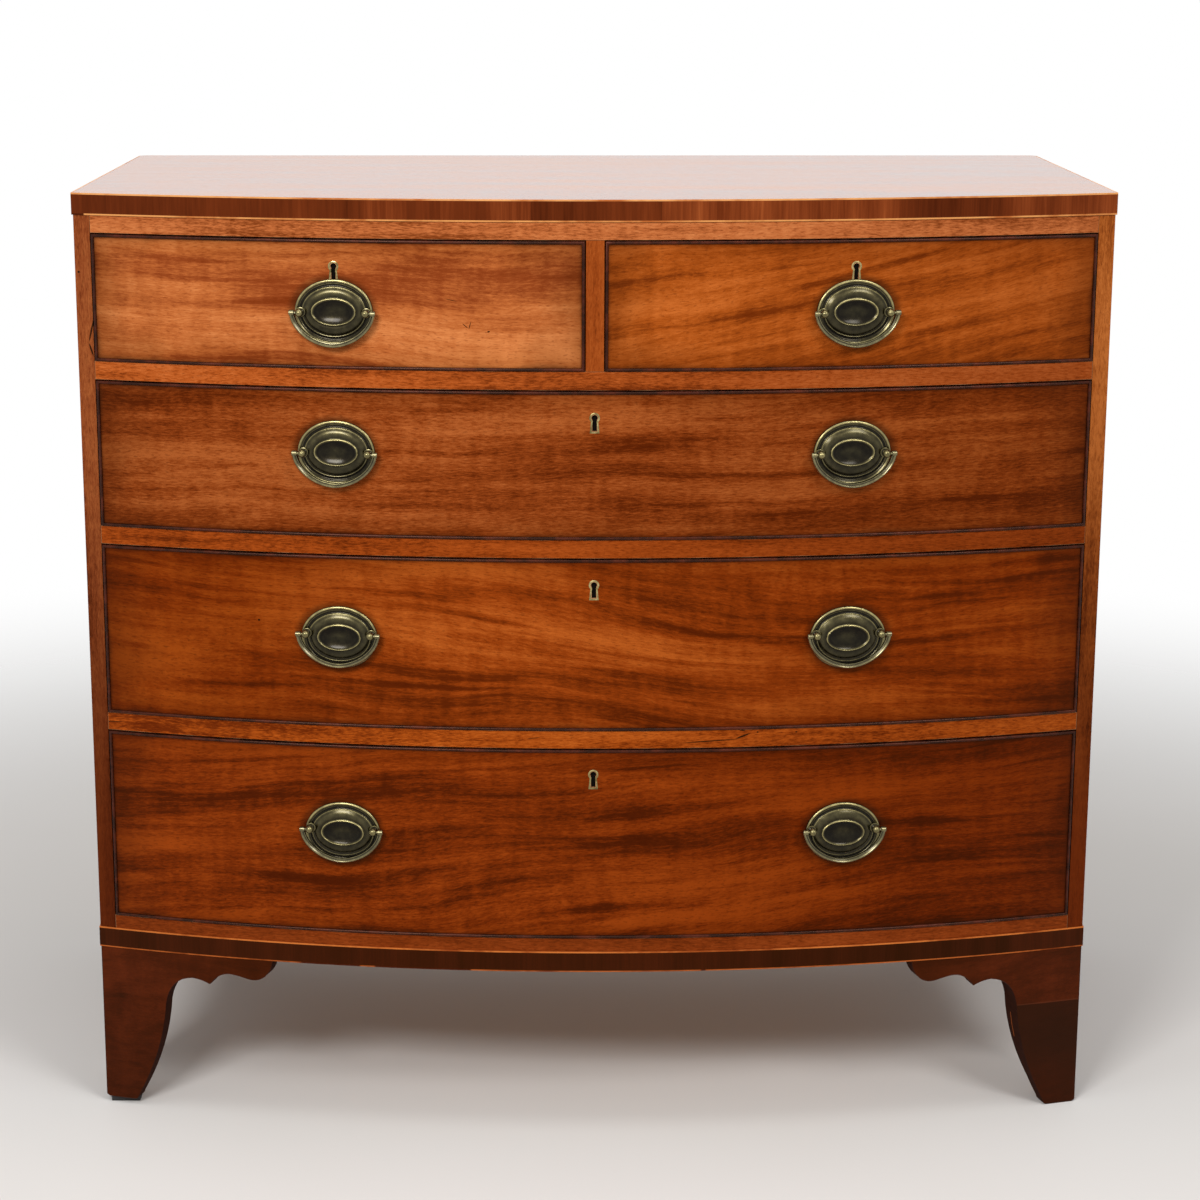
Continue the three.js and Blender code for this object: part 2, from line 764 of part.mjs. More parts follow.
for (const { name, left, right, bottom, height, handleDrop, postLift } of bays) {
  const isShort = name.startsWith('short');
  const drawer = new THREE.Group();
  const x0 = left + sideClearance;
  const x1 = right - sideClearance;
  const z0 = bottom + runningClearance;
  const z1 = bottom + height - topClearance;
  const rearY = backPanelY - backClearance;
  const linedTop = z1 - liningDrop;
  const middleX = (left + right) / 2;
  const keyX = isShort ? Math.sign(middleX) * handleX : 0;
  const keyZ = z1 - keyholeDrop - beadWidth;

  addPiece(`${name}_front`, drawerFront(x0, x1, z0, z1, keyX), 'mahoganyFront', drawer);
  addPiece(`${name}_bead`, cockBead(x0, x1, z0, z1), 'cockBead', drawer);
  addPiece(`${name}_lining`, drawerLining(x0, x1, z0, linedTop, rearY), 'oakLining', drawer);
  addPiece(`${name}_bottom`, drawerBottom(x0, x1, z0, rearY), 'oakLining', drawer);

  const lock = new THREE.Group();
  lock.applyMatrix4(onFront(keyX, innerInset, keyZ));
  addPiece(`${name}_lock`, lockBody(0), 'lockBrass', lock);
  drawer.add(lock);

  const handleZ = bottom + height - handleDrop;
  const handles = isShort ? [[name, keyX]] : [[`${name}_left`, -handleX], [`${name}_right`, handleX]];
  for (const [handleName, x] of handles) {
    addHandle(drawer, `${handleName}_handle`, x, handleZ, postLift);
  }
  chest.add(drawer);
}

// The origin goes under the middle of the chest's depth, from its back edge to the foremost bead
const beadReach = Math.max(beadProud - topOverhang, 0);
chest.position.y = -(cornerDepth - bowRise - beadReach) / 2;

export default chest;
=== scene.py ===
# Bow front chest of drawers in mahogany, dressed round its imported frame.
# Metres, +Z up, front towards -Y, origin on the floor under the middle of the chest.
import itertools
import json
import math

import bmesh
import bpy
from mathutils import Matrix, Vector

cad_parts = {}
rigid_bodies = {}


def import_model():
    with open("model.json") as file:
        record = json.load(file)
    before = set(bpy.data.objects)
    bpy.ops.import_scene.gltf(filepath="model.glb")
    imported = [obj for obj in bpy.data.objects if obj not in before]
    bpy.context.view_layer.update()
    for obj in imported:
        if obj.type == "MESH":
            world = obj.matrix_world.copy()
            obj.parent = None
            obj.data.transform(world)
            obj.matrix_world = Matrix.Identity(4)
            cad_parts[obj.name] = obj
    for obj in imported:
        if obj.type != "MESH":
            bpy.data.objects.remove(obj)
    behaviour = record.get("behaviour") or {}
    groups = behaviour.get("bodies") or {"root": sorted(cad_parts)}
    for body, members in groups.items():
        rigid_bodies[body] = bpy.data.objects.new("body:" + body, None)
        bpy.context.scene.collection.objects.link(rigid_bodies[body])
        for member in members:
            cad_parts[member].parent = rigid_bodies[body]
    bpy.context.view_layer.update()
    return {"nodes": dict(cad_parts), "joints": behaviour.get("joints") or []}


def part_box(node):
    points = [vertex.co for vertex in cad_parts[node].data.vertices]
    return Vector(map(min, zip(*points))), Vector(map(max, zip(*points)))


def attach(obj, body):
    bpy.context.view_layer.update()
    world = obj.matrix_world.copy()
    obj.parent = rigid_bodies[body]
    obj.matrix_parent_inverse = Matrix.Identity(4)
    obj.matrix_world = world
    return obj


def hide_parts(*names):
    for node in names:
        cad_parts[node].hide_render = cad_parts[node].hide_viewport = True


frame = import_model()
MM = 0.001


# The plan of the chest
# Straight sides and back, and a front that is one arc of a circle. Every front piece lies on
# that arc or a set distance inside it, so the arc is worked out once, from the top slab.
slab_low, slab_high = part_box("top_slab")
HALF_WIDTH = slab_high.x
BOW_RISE = 78 * MM
BOW_RADIUS = (HALF_WIDTH ** 2 + BOW_RISE ** 2) / (2 * BOW_RISE)
BOW_CENTRE_Y = slab_low.y + BOW_RADIUS
CARCASE_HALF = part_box("side_right")[1].x
FACE_INSET = HALF_WIDTH - CARCASE_HALF
BOW_STEPS = 64


def bow_y(x, inset):
    return BOW_CENTRE_Y - math.sqrt((BOW_RADIUS - inset) ** 2 - x ** 2)


def bow_line(from_x, to_x, inset):
    """Points along the arc from one x to another, seen from above."""
    places = [from_x + (to_x - from_x) * step / BOW_STEPS for step in range(BOW_STEPS + 1)]
    return [(x, bow_y(x, inset)) for x in places]


def on_front(x, inset, z):
    """Moves a thing made round the origin, facing -Y, to its place on the bowed front."""
    turn = math.asin(x / (BOW_RADIUS - inset))
    return Matrix.Translation((x, bow_y(x, inset), z)) @ Matrix.Rotation(turn, 4, "Z")


# Side boards
# Two upright boards of solid mahogany, their grain running up, French polished outside. The
# rails are housed in them, and their front edges show as the stiles on both sides.
class Wire:
    """A socket that gives a value in a material. Python's operators on it add Math nodes."""

    def __init__(self, finish, socket):
        self.finish = finish
        self.socket = socket

    def out(self, name):
        return Wire(self.finish, self.socket.node.outputs[name])

    def math(self, operation, *others):
        return self.finish.math(operation, self, *others)

    def __add__(self, other):
        return self.math("ADD", other)

    def __radd__(self, other):
        return self.math("ADD", other)

    def __sub__(self, other):
        return self.math("SUBTRACT", other)

    def __rsub__(self, other):
        return self.finish.math("SUBTRACT", other, self)

    def __mul__(self, other):
        return self.math("MULTIPLY", other)

    def __rmul__(self, other):
        return self.math("MULTIPLY", other)

    def __truediv__(self, other):
        return self.math("DIVIDE", other)

    def __pow__(self, other):
        return self.math("POWER", other)


class Finish:
    """The nodes of a material or of the world. Every node in them comes from node()."""

    prefix = "ShaderNode"

    def __init__(self, owner):
        self.owner = owner
        owner.use_nodes = True
        self.tree = owner.node_tree
        self.tree.nodes.clear()

    def node(self, kind, settings=None, values=None):
        made = self.tree.nodes.new(self.prefix + kind)
        for key, setting in (settings or {}).items():
            if key == "stops":
                self.set_stops(made.color_ramp, setting)
            else:
                setattr(made, key, setting)
        for key, value in (values or {}).items():
            named = [s for s in made.inputs if s.enabled and s.name == key]
            socket = named[0] if named else made.inputs[key]
            if isinstance(value, Wire):
                self.tree.links.new(value.socket, socket)
            else:
                socket.default_value = value
        shown = [s for s in made.outputs if s.enabled]
        return Wire(self, shown[0]) if shown else None

    def set_stops(self, ramp, stops):
        ramp.elements[0].position = stops[0][0]
        ramp.elements[-1].position = stops[-1][0]
        for place, _ in stops[1:-1]:
            ramp.elements.new(place)
        for element, (_, colour) in zip(ramp.elements, stops):
            element.color = colour

    def math(self, operation, *values):
        return self.node("Math", {"operation": operation}, dict(enumerate(values)))

    def spot(self):
        """Where a point lies on the chest."""
        return self.node("TexCoord").out("Object")

    def ramp(self, tone, stops):
        """The colour of a tone, between stops."""
        return self.node("ValToRGB", {"stops": stops}, {"Fac": tone})

    def mix(self, share, first, second):
        """A colour between two others."""
        values = {"Factor": share, "A": first, "B": second}
        return self.node("Mix", {"data_type": "RGBA"}, values)

    def fade(self, value, start, end):
        """0 below start, 1 above end, and a smooth step between them."""
        values = {"Value": value, "From Min": start, "From Max": end}
        return self.node("MapRange", {"interpolation_type": "SMOOTHSTEP"}, values)

    def noise(self, place, scales, seed=0.0, detail=2.0, rough=0.5):
        """Smooth noise round a half, with its own scale on each axis of place."""
        values = {0: place, 1: scales, 2: (seed, seed / 2, -seed)}
        spread = self.node("VectorMath", {"operation": "MULTIPLY_ADD"}, values)
        values = {"Vector": spread, "Scale": 1.0, "Detail": detail, "Roughness": rough}
        return self.node("TexNoise", {}, values)

    def surface(self, **values):
        """The Principled shader that everything on the chest ends in."""
        named = {key.replace("_", " "): value for key, value in values.items()}
        shader = self.node("BsdfPrincipled", {}, named)
        self.node("OutputMaterial", {}, {"Surface": shader})
        return self.owner

    def relief(self, height, depth):
        """A surface normal from a height between 0 and 1 that stands for so many metres."""
        return self.node("Bump", {}, {"Height": height, "Distance": depth, "Strength": 1.0})


def tint(red, green, blue):
    """A colour as the eye measures it, 0 to 255, in the shader's linear light."""
    shares = [value / 255 for value in (red, green, blue)]
    linear = [s / 12.92 if s <= 0.04045 else ((s + 0.055) / 1.055) ** 2.4 for s in shares]
    return (*linear, 1.0)


def new_finish(name):
    return Finish(bpy.data.materials.new(name))


def board_place(finish, axes):
    """Where a point lies along the grain, across it and through the board."""
    parts = finish.node("SeparateXYZ", {}, {"Vector": finish.spot()})
    return [parts.out(axis) for axis in axes]


def grain(finish, axes, seed, slant=0.0, sway=0.03, depth=1.0, bold=1.0, fine=1.0):
    """Tone and pores of mahogany, and the place in the board that they belong to. Broad bands,
    soft ribbons, fibres and a faint cross figure lie on a coordinate that sways."""
    along, across, through = board_place(finish, axes)
    flat = finish.node("CombineXYZ", {}, {"X": along, "Y": across, "Z": through * depth})
    bend = finish.noise(flat, (2.2, 5.0, 5.0), seed, detail=1.0) - 0.5
    ripple = finish.noise(flat, (13.0, 28.0, 28.0), seed + 1.7, detail=1.0) - 0.5
    swayed = across + along * slant + bend * sway + ripple * 0.007
    place = finish.node("CombineXYZ", {}, {"X": along, "Y": swayed, "Z": through * depth})
    bands = finish.noise(place, (2.4, 16.0, 16.0), seed + 3.1, detail=1.0) - 0.5
    ribbons = finish.noise(place, (3.4, 38.0, 38.0), seed + 5.7, detail=1.5) - 0.5
    flames = finish.fade(finish.noise(place, (6.0, 90.0, 90.0), seed + 7.3, detail=2.0), 0.52, 0.74)
    wisps = finish.noise(place, (10.0, 150.0, 150.0), seed + 15.1, detail=2.0, rough=0.6) - 0.5
    fibres = finish.noise(place, (130.0, 700.0, 700.0), seed + 9.2, detail=3.0, rough=0.75) - 0.5
    figure = finish.noise(place, (70.0, 22.0, 22.0), seed + 12.9, detail=2.0) - 0.5
    streaks = bands * 0.75 + ribbons * 0.55 + wisps * 0.42 - flames * 0.18
    tone = streaks * bold + fibres * fine + figure * 0.3 + 0.54
    pores = finish.noise(place, (160.0, 600.0, 600.0), seed + 21.0, detail=2.0)
    return tone, finish.fade(pores, 0.55, 0.7), (along, across, through)


def wood_tones(dark, middle, light):
    """The stops of a ramp from the dark flames to the light ground."""
    deepest = (dark[0] * 0.7, dark[1] * 0.55, dark[2] * 0.4, 1.0)
    return [(0.02, deepest), (0.26, dark), (0.5, middle), (0.8, light)]


def scarred(finish, colour, marks):
    """Dents and cracks full of old dirt. Each mark is the x and z of its middle on the front, its
    half length and half width, and its slope in degrees."""
    across, up = board_place(finish, "XZ")
    for x, z, half_length, half_width, slope in marks:
        turn = math.radians(slope)
        run = (across - x) * math.cos(turn) + (up - z) * math.sin(turn)
        rise = (up - z) * math.cos(turn) - (across - x) * math.sin(turn)
        spread = (run / half_length) ** 2.0 + (rise / half_width) ** 2.0
        colour = finish.mix(1 - finish.fade(spread, 0.3, 1.1), colour, SCAR_BROWN)
    return colour


def deepen(finish, colour, share, polish):
    """Painted shade: a darker, redder copy of the colour, the colour times the given tint, mixed in
    by the share.
    """
    deeper = finish.node("VectorMath", {"operation": "MULTIPLY"}, {0: colour, 1: polish})
    return finish.mix(share, colour, deeper)


SCAR_BROWN = tint(24, 10, 5)
SHELLAC = {"Specular_IOR_Level": 0.22, "Specular_Tint": (1.0, 0.32, 0.06, 1.0)}
THICK_SHELLAC = {**SHELLAC, "Specular_IOR_Level": 0.25}
# The tint of painted shade on polished wood: darker and redder
LOW_SHADE_DEEPENING = (0.24, 0.11, 0.05)
PORE_DEPTH = 0.04 * MM


def polished_wood(name, axes, tones, seed, pores=0.35, marks=(), painted_shade=None, **figure):
    """French polished mahogany without its dirt. Old shellac tints what it reflects. Painted shade
    darkens it by one share towards the floor, below a height, and by another to the right."""
    finish = new_finish(name)
    tone, dashes, _ = grain(finish, axes, seed, **figure)
    ground = finish.ramp(tone, tones)
    side, height = board_place(finish, "XZ")
    deeper = {"low": 0.0, "below": 0.8, "right": 0.0, **(painted_shade or {})}
    # Painted shade: darker towards the floor and towards the right
    shaded = (1 - finish.fade(height, 0.25, deeper["below"])) * deeper["low"]
    shaded = finish.fade(side, -0.4, 0.5) * deeper["right"] + shaded
    ground = deepen(finish, ground, shaded, LOW_SHADE_DEEPENING)
    ground = finish.mix(dashes * pores, ground, tones[0][1])
    return finish.surface(
        Base_Color=scarred(finish, ground, marks),
        Roughness=tone * 0.12 + 0.24,
        Normal=finish.relief(dashes * -1.0 + tone, PORE_DEPTH),
        **SHELLAC,
    )


def dress(node, material):
    """Gives a CAD node its finish."""
    mesh = frame["nodes"][node].data
    mesh.materials.clear()
    mesh.materials.append(material)


LEFT_TONES = wood_tones(tint(84, 32, 11), tint(125, 59, 28), tint(154, 84, 43))
RIGHT_TONES = wood_tones(tint(98, 40, 10), tint(148, 76, 28), tint(180, 102, 46))
# The left stile is bruised where the corner of the short drawer has caught it
STILE_MARKS = [
    (-508.5 * MM, 839 * MM, 15 * MM, 1.0 * MM, 76),
    (-509.4 * MM, 819 * MM, 8 * MM, 1.1 * MM, -72),
    (-519.7 * MM, 897.5 * MM, 1.6 * MM, 1.4 * MM, 0),
]
# Both stiles are painted darker towards the floor, as painted shade
SIDES = {
    "side_left": {
        "tones": LEFT_TONES, "seed": 4.0, "painted_shade": {"low": 0.95}, "marks": STILE_MARKS,
    },
    "side_right": {
        "tones": RIGHT_TONES, "seed": 5.5, "painted_shade": {"low": 1.0, "below": 0.95},
    },
}
for node, look in SIDES.items():
    dress(node, polished_wood(f"{node}_mahogany", "ZYX", **look))


# Back boards
# Plain pine boards, planed but never polished, set upright side by side behind the drawers and
# nailed to the sides and rails. Dust and years have turned them a greyed brown.
SHARP_ANGLE = math.radians(28)
SLIVER = 0.005 * MM


def make_piece(name, points, faces, *materials, looks=None):
    """A mesh object in its place, with the material of each face in looks."""
    mesh = bpy.data.meshes.new(name)
    mesh.from_pydata(points, [], faces)
    for material in materials:
        mesh.materials.append(material)
    if looks:
        mesh.polygons.foreach_set("material_index", looks)
    piece = bpy.data.objects.new(name, mesh)
    bpy.context.scene.collection.objects.link(piece)
    return piece


def ease(piece, width, segments=1):
    """Takes the sharp edges off, as a plane and use do, and shades what curves smooth."""
    shape = bmesh.new()
    shape.from_mesh(piece.data)
    bmesh.ops.recalc_face_normals(shape, faces=shape.faces)
    if width:
        edges = [e for e in shape.edges if e.is_manifold and e.calc_face_angle() > SHARP_ANGLE]
        cut = {"offset": width, "segments": segments, "profile": 0.5, "affect": "EDGES"}
        bmesh.ops.bevel(shape, geom=edges, **cut)
        bmesh.ops.dissolve_degenerate(shape, dist=SLIVER, edges=shape.edges)
    shape.to_mesh(piece.data)
    shape.free()
    piece.data.shade_smooth()
    piece.data.set_sharp_from_angle(angle=SHARP_ANGLE)
    return piece


def settle(piece, body, slot, *nodes):
    """The piece rides on a body and may stand for CAD nodes. Its slot is not used."""
    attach(piece, body)
    if nodes:
        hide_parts(*nodes)
    return piece


def block_mesh(low, high):
    """Corners and faces of a plain board, as part of a larger mesh."""
    points = list(itertools.product(*zip(low, high)))
    faces = [(0, 1, 3, 2), (4, 6, 7, 5), (0, 4, 5, 1), (2, 3, 7, 6), (0, 2, 6, 4), (1, 5, 7, 3)]
    return points, faces


def joined(parts):
    """Several lists of corners and faces as one."""
    points, faces = [], []
    for more_points, more_faces in parts:
        shift = len(points)
        points += more_points
        faces += [tuple(corner + shift for corner in face) for face in more_faces]
    return points, faces


def bare_wood(name, axes, tones, seed, roughness=0.7, rings=150.0, dust=0.3, turning=False):
    """Planed wood that was never polished: growth rings that wander along the grain, fine fibres
    and soft dust. The grain of a turning one follows each wall of a box that it stands round."""
    finish = new_finish(name)
    along, across, through = board_place(finish, axes)
    if turning:
        facing = finish.node("NewGeometry").out("True Normal")
        sideways = finish.node("SeparateXYZ", {}, {"Vector": facing}).out("Y").math("ABSOLUTE")
        swap = finish.fade(sideways, 0.6, 0.8)
        along, through = along + (through - along) * swap, through + (along - through) * swap
    spot = finish.node("CombineXYZ", {}, {"X": along, "Y": across, "Z": through})
    bend = finish.noise(spot, (1.6, 5.0, 5.0), seed, detail=1.0) - 0.5
    swayed = across + bend * 0.05
    place = finish.node("CombineXYZ", {}, {"X": along, "Y": swayed, "Z": through})
    growth = finish.noise(place, (0.9, 7.0, 7.0), seed + 4.0, detail=0.0)
    late = ((growth * rings).math("SINE") * 0.5 + 0.5) ** 3.0
    bands = finish.noise(place, (1.5, 13.0, 13.0), seed + 6.0, detail=1.0) - 0.5
    fibres = finish.noise(place, (45.0, 420.0, 420.0), seed + 9.0, detail=3.0, rough=0.75) - 0.5
    tone = bands * 0.5 + fibres * 0.6 - late * 0.2 + 0.62
    soiled = finish.fade(finish.noise(spot, (5.0, 7.0, 7.0), seed + 30.0, detail=4.0), 0.42, 0.75)
    colour = finish.ramp(tone, tones)
    return finish.surface(
        Base_Color=finish.mix(soiled * dust, colour, DUST_BROWN),
        Roughness=soiled * 0.1 + roughness,
        Normal=finish.relief(tone, PLANED_DEPTH),
        Specular_IOR_Level=0.25,
    )


DUST_BROWN = tint(74, 58, 42)
PLANED_DEPTH = 0.15 * MM
PINE_TONES = wood_tones(tint(122, 81, 47), tint(165, 118, 76), tint(192, 146, 102))
BACK_BOARD_COUNT = 6
BACK_BOARD_GAP = 0.8 * MM
BACK_BOARD_EASE = 0.6 * MM
back_low, back_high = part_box("back_boards")
board_pitch = (back_high.x - back_low.x + BACK_BOARD_GAP) / BACK_BOARD_COUNT
boards = []
for number in range(BACK_BOARD_COUNT):
    left = back_low.x + number * board_pitch
    low = (left, back_low.y, back_low.z)
    high = (left + board_pitch - BACK_BOARD_GAP, back_high.y, back_high.z)
    boards.append(block_mesh(low, high))
back_pine = bare_wood("back_pine", "ZXY", PINE_TONES, 2.0)
back = ease(make_piece("back_planks", *joined(boards), back_pine), BACK_BOARD_EASE)
settle(back, "carcase", "pine", "back_boards")


def keep_modified(piece, modifier):
    """What the modifier makes becomes the piece's own mesh."""
    bpy.context.view_layer.update()
    graph = bpy.context.evaluated_depsgraph_get()
    mesh = bpy.data.meshes.new_from_object(piece.evaluated_get(graph))
    piece.modifiers.remove(modifier)
    piece.data = mesh
    return mesh


class Pattern(Finish):
    """The nodes of a Geometry Nodes tree that sets a repeated thing on the points it is given."""

    prefix = ""

    def __init__(self, name, **kinds):
        self.tree = bpy.data.node_groups.new(name, "GeometryNodeTree")
        face = self.tree.interface
        face.new_socket("Points", in_out="INPUT", socket_type="NodeSocketGeometry")
        self.sockets = {}
        for key, kind in kinds.items():
            socket = face.new_socket(key, in_out="INPUT", socket_type="NodeSocket" + kind)
            self.sockets[key] = socket.identifier
        face.new_socket("Mesh", in_out="OUTPUT", socket_type="NodeSocketGeometry")
        self.given = self.tree.nodes.new("NodeGroupInput")

    def size(self, name):
        return Wire(self, self.given.outputs[name])

    def math(self, operation, *values):
        return self.node("ShaderNodeMath", {"operation": operation}, dict(enumerate(values)))

    def vector(self, **parts):
        return self.node("ShaderNodeCombineXYZ", {}, parts)

    def scatter(self, points, shape, rotation=(0.0, 0.0, 0.0)):
        """The shape on every point, as one plain mesh."""
        values = {"Points": points, "Instance": shape, "Rotation": rotation}
        copies = self.node("GeometryNodeInstanceOnPoints", {}, values)
        return self.node("GeometryNodeRealizeInstances", {}, {"Geometry": copies})

    def end(self, shape, finish, **chosen):
        """The last nodes: the thing, or what is chosen of it, takes the finish of that input."""
        values = {"Geometry": shape, "Material": self.size(finish), **chosen}
        done = self.node("GeometryNodeSetMaterial", {}, values)
        self.tree.links.new(done.socket, self.tree.nodes.new("NodeGroupOutput").inputs[0])

    def grow(self, name, points, facings=None, **sizes):
        """Runs the tree on loose points and keeps what it makes as a plain mesh."""
        piece = make_piece(name, points, [])
        if facings:
            layer = piece.data.attributes.new("facing", "FLOAT_VECTOR", "POINT")
            layer.data.foreach_set("vector", [part for facing in facings for part in facing])
        modifier = piece.modifiers.new("pattern", "NODES")
        modifier.node_group = self.tree
        for key, value in sizes.items():
            modifier[self.sockets[key]] = value
        mesh = keep_modified(piece, modifier)
        used = [material for material in mesh.materials if material]
        looks = [used.index(mesh.materials[face.material_index]) for face in mesh.polygons]
        mesh.materials.clear()
        for material in used:
            mesh.materials.append(material)
        mesh.polygons.foreach_set("material_index", looks)
        return ease(piece, 0)


def head_pattern():
    """A low turned head, such as a nail's or a nut's, facing out of what it holds, each at a
    turn of its own and a little off its mark. A stem may stand on it, or a slot cross it."""
    pattern = Pattern(
        "fixing_heads", Radius="Float", Rim="Float", Height="Float", Sides="Int", Stem="Vector",
        Scatter="Float", Seed="Int", Head="Material", StemFinish="Material",
    )
    values = {
        "Vertices": pattern.size("Sides"), "Radius Bottom": pattern.size("Radius"),
        "Radius Top": pattern.size("Rim"), "Depth": pattern.size("Height"),
    }
    head = pattern.node("GeometryNodeMeshCone", {}, values)
    stem = pattern.node("GeometryNodeMeshCube", {}, {"Size": pattern.size("Stem")})
    lift = pattern.vector(Z=pattern.size("Height"))
    stem = pattern.node("GeometryNodeTransform", {}, {"Geometry": stem, "Translation": lift})
    values = {"Geometry": stem, "Name": "stem", "Value": True}
    kind = {"data_type": "BOOLEAN", "domain": "FACE"}
    stem = pattern.node("GeometryNodeStoreNamedAttribute", kind, values)
    both = pattern.node("GeometryNodeJoinGeometry", {}, {"Geometry": head})
    pattern.tree.links.new(stem.socket, both.socket.node.inputs[0])
    kind = {"data_type": "FLOAT_VECTOR"}
    facing = pattern.node("GeometryNodeInputNamedAttribute", kind, {"Name": "facing"})
    upright = pattern.node("FunctionNodeAlignRotationToVector", {"axis": "Z"}, {"Vector": facing})
    values = {"Max": 2 * math.pi, "Seed": pattern.size("Seed")}
    turn = pattern.node("FunctionNodeRandomValue", {"data_type": "FLOAT"}, values)
    values = {"Axis": (0.0, 0.0, 1.0), "Angle": turn}
    turn = pattern.node("FunctionNodeAxisAngleToRotation", {}, values)
    values = {"Rotation": upright, "Rotate By": turn}
    turned = pattern.node("FunctionNodeRotateRotation", {"rotation_space": "LOCAL"}, values)
    values = {"Min": (-1.0, 0.0, -1.0), "Max": (1.0, 0.0, 1.0), "Seed": pattern.size("Seed")}
    stray = pattern.node("FunctionNodeRandomValue", kind, values)
    values = {"Vector": stray, "Scale": pattern.size("Scatter")}
    stray = pattern.node("ShaderNodeVectorMath", {"operation": "SCALE"}, values)
    values = {"Geometry": pattern.size("Points"), "Offset": stray}
    points = pattern.node("GeometryNodeSetPosition", {}, values)
    made = pattern.scatter(points, both, turned)
    values = {"Geometry": made, "Material": pattern.size("Head")}
    made = pattern.node("GeometryNodeSetMaterial", {}, values)
    kind = {"data_type": "BOOLEAN"}
    chosen = pattern.node("GeometryNodeInputNamedAttribute", kind, {"Name": "stem"})
    pattern.end(made, "StemFinish", Selection=chosen)
    return pattern


def speckled(name, scales, seed, detail=2.0, rough=0.5):
    """A new finish, and the fine noise that mottles it."""
    finish = new_finish(name)
    return finish, finish.noise(finish.spot(), scales, seed, detail, rough)


RUST_DEPTH = 0.1 * MM


def old_iron():
    finish, speck = speckled("old_iron", (300.0, 300.0, 300.0), 2.0, detail=4.0)
    rust = finish.fade(speck, 0.35, 0.7)
    return finish.surface(
        Base_Color=finish.mix(rust, tint(58, 52, 48), tint(96, 62, 40)),
        Metallic=0.6 - rust * 0.5,
        Roughness=rust * 0.3 + 0.5,
        Normal=finish.relief(rust, RUST_DEPTH),
    )


heads = head_pattern()
iron = old_iron()
CUT_NAIL = {
    "Radius": 3.2 * MM, "Rim": 2.0 * MM, "Height": 1.0 * MM, "Sides": 9,
    "Stem": (0.5 * MM, 0.5 * MM, 0.2 * MM), "Head": iron, "StemFinish": iron,
}
NAIL_SCATTER = 4 * MM
NAIL_MARGIN = 24 * MM
DUST_BOARDS = ("dust_board_lower", "dust_board_middle", "dust_board_upper")
DUST_NAIL_DROP = 9 * MM
LOWEST_NAIL = 26 * MM
HIGHEST_NAIL_DROP = 12 * MM
NAIL_HEIGHTS = [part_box(node)[1].z - DUST_NAIL_DROP for node in DUST_BOARDS]
NAIL_HEIGHTS += [back_low.z + LOWEST_NAIL, back_high.z - HIGHEST_NAIL_DROP]
nail_points = [
    (back_low.x + number * board_pitch + shift, back_high.y, height)
    for number in range(BACK_BOARD_COUNT)
    for shift in (NAIL_MARGIN, board_pitch - NAIL_MARGIN)
    for height in NAIL_HEIGHTS
]
nails = heads.grow(
    "back_board_nails", nail_points, [(0.0, 1.0, 0.0)] * len(nail_points),
    Scatter=NAIL_SCATTER, Seed=3, **CUT_NAIL,
)
settle(nails, "carcase", "pine")


# Rails and partition
# Front rails of pine faced with straight mahogany, housed between the sides and bent to the
# bow, and the upright between the two short drawers. Each facing is a strip glued on.
FACING_PROUD = 0.05 * MM
FACING_THICKNESS = 2.0 * MM
FACING_EASE = 0.25 * MM


def bar(rows):
    """A bar through rows of four corners, closed at both ends."""
    points = [corner for row in rows for corner in row]
    last = len(points) - 4
    faces = []
    for near in range(0, last, 4):
        far = near + 4
        for side in range(4):
            follow = (side + 1) % 4
            faces.append((near + side, far + side, far + follow, near + follow))
    faces += [(0, 1, 2, 3), (last + 3, last + 2, last + 1, last)]
    return points, faces


def edging(outer, inner, from_z, to_z):
    """A strip between two lines that run side by side, seen from above."""
    return bar([
        ((ox, oy, from_z), (ox, oy, to_z), (ix, iy, to_z), (ix, iy, from_z))
        for (ox, oy), (ix, iy) in zip(outer, inner)
    ])


def bent_strip(from_x, to_x, front_inset, rear_inset, from_z, to_z):
    """A strip bent to the bow, closed all round."""
    front = bow_line(from_x, to_x, front_inset)
    return edging(front, bow_line(from_x, to_x, rear_inset), from_z, to_z)


# The rails' tones darken from the top down: partly their own colour, partly painted shade for light
# that falls from above
RAIL_TONES = {
    "top_rail": wood_tones(tint(126, 60, 24), tint(180, 99, 52), tint(202, 122, 70)),
    "drawer_rail_upper": wood_tones(tint(116, 47, 12), tint(168, 79, 28), tint(194, 103, 48)),
    "drawer_rail_middle": wood_tones(tint(94, 33, 5), tint(144, 61, 15), tint(172, 80, 26)),
    "drawer_rail_lower": wood_tones(tint(104, 37, 5), tint(158, 70, 16), tint(190, 95, 30)),
    "bottom_rail": wood_tones(tint(84, 30, 6), tint(114, 45, 11), tint(138, 61, 21)),
}
# How much painted shade darkens each rail at its right end
RAIL_RIGHT_SHADE = {
    "top_rail": 0.12,
    "drawer_rail_upper": 0.5,
    "drawer_rail_middle": 0.55,
    "drawer_rail_lower": 0.35,
}
rail_core = bare_wood("rail_core", "XYZ", PINE_TONES, 14.0)
# Cracks in the facing over the lower drawer, by its left end and right of its middle
RAIL_MARKS = {
    "drawer_rail_lower": [
        (-500 * MM, 428.4 * MM, 12 * MM, 0.5 * MM, 2),
        (-61 * MM, 430.5 * MM, 9 * MM, 0.4 * MM, 8),
        (120 * MM, 426.6 * MM, 34 * MM, 0.7 * MM, 3),
        (153 * MM, 431.2 * MM, 9 * MM, 1.1 * MM, 20),
        (152 * MM, 437.4 * MM, 4 * MM, 0.9 * MM, -8),
        (168 * MM, 435 * MM, 1.2 * MM, 1.0 * MM, 0),
        (186 * MM, 438 * MM, 1.5 * MM, 0.8 * MM, 0),
        (208 * MM, 434 * MM, 1.3 * MM, 1.0 * MM, 0),
    ],
}
RAIL_FIGURE = {"pores": 0.5, "depth": 0.0, "sway": 0.012, "bold": 0.85, "fine": 1.1}
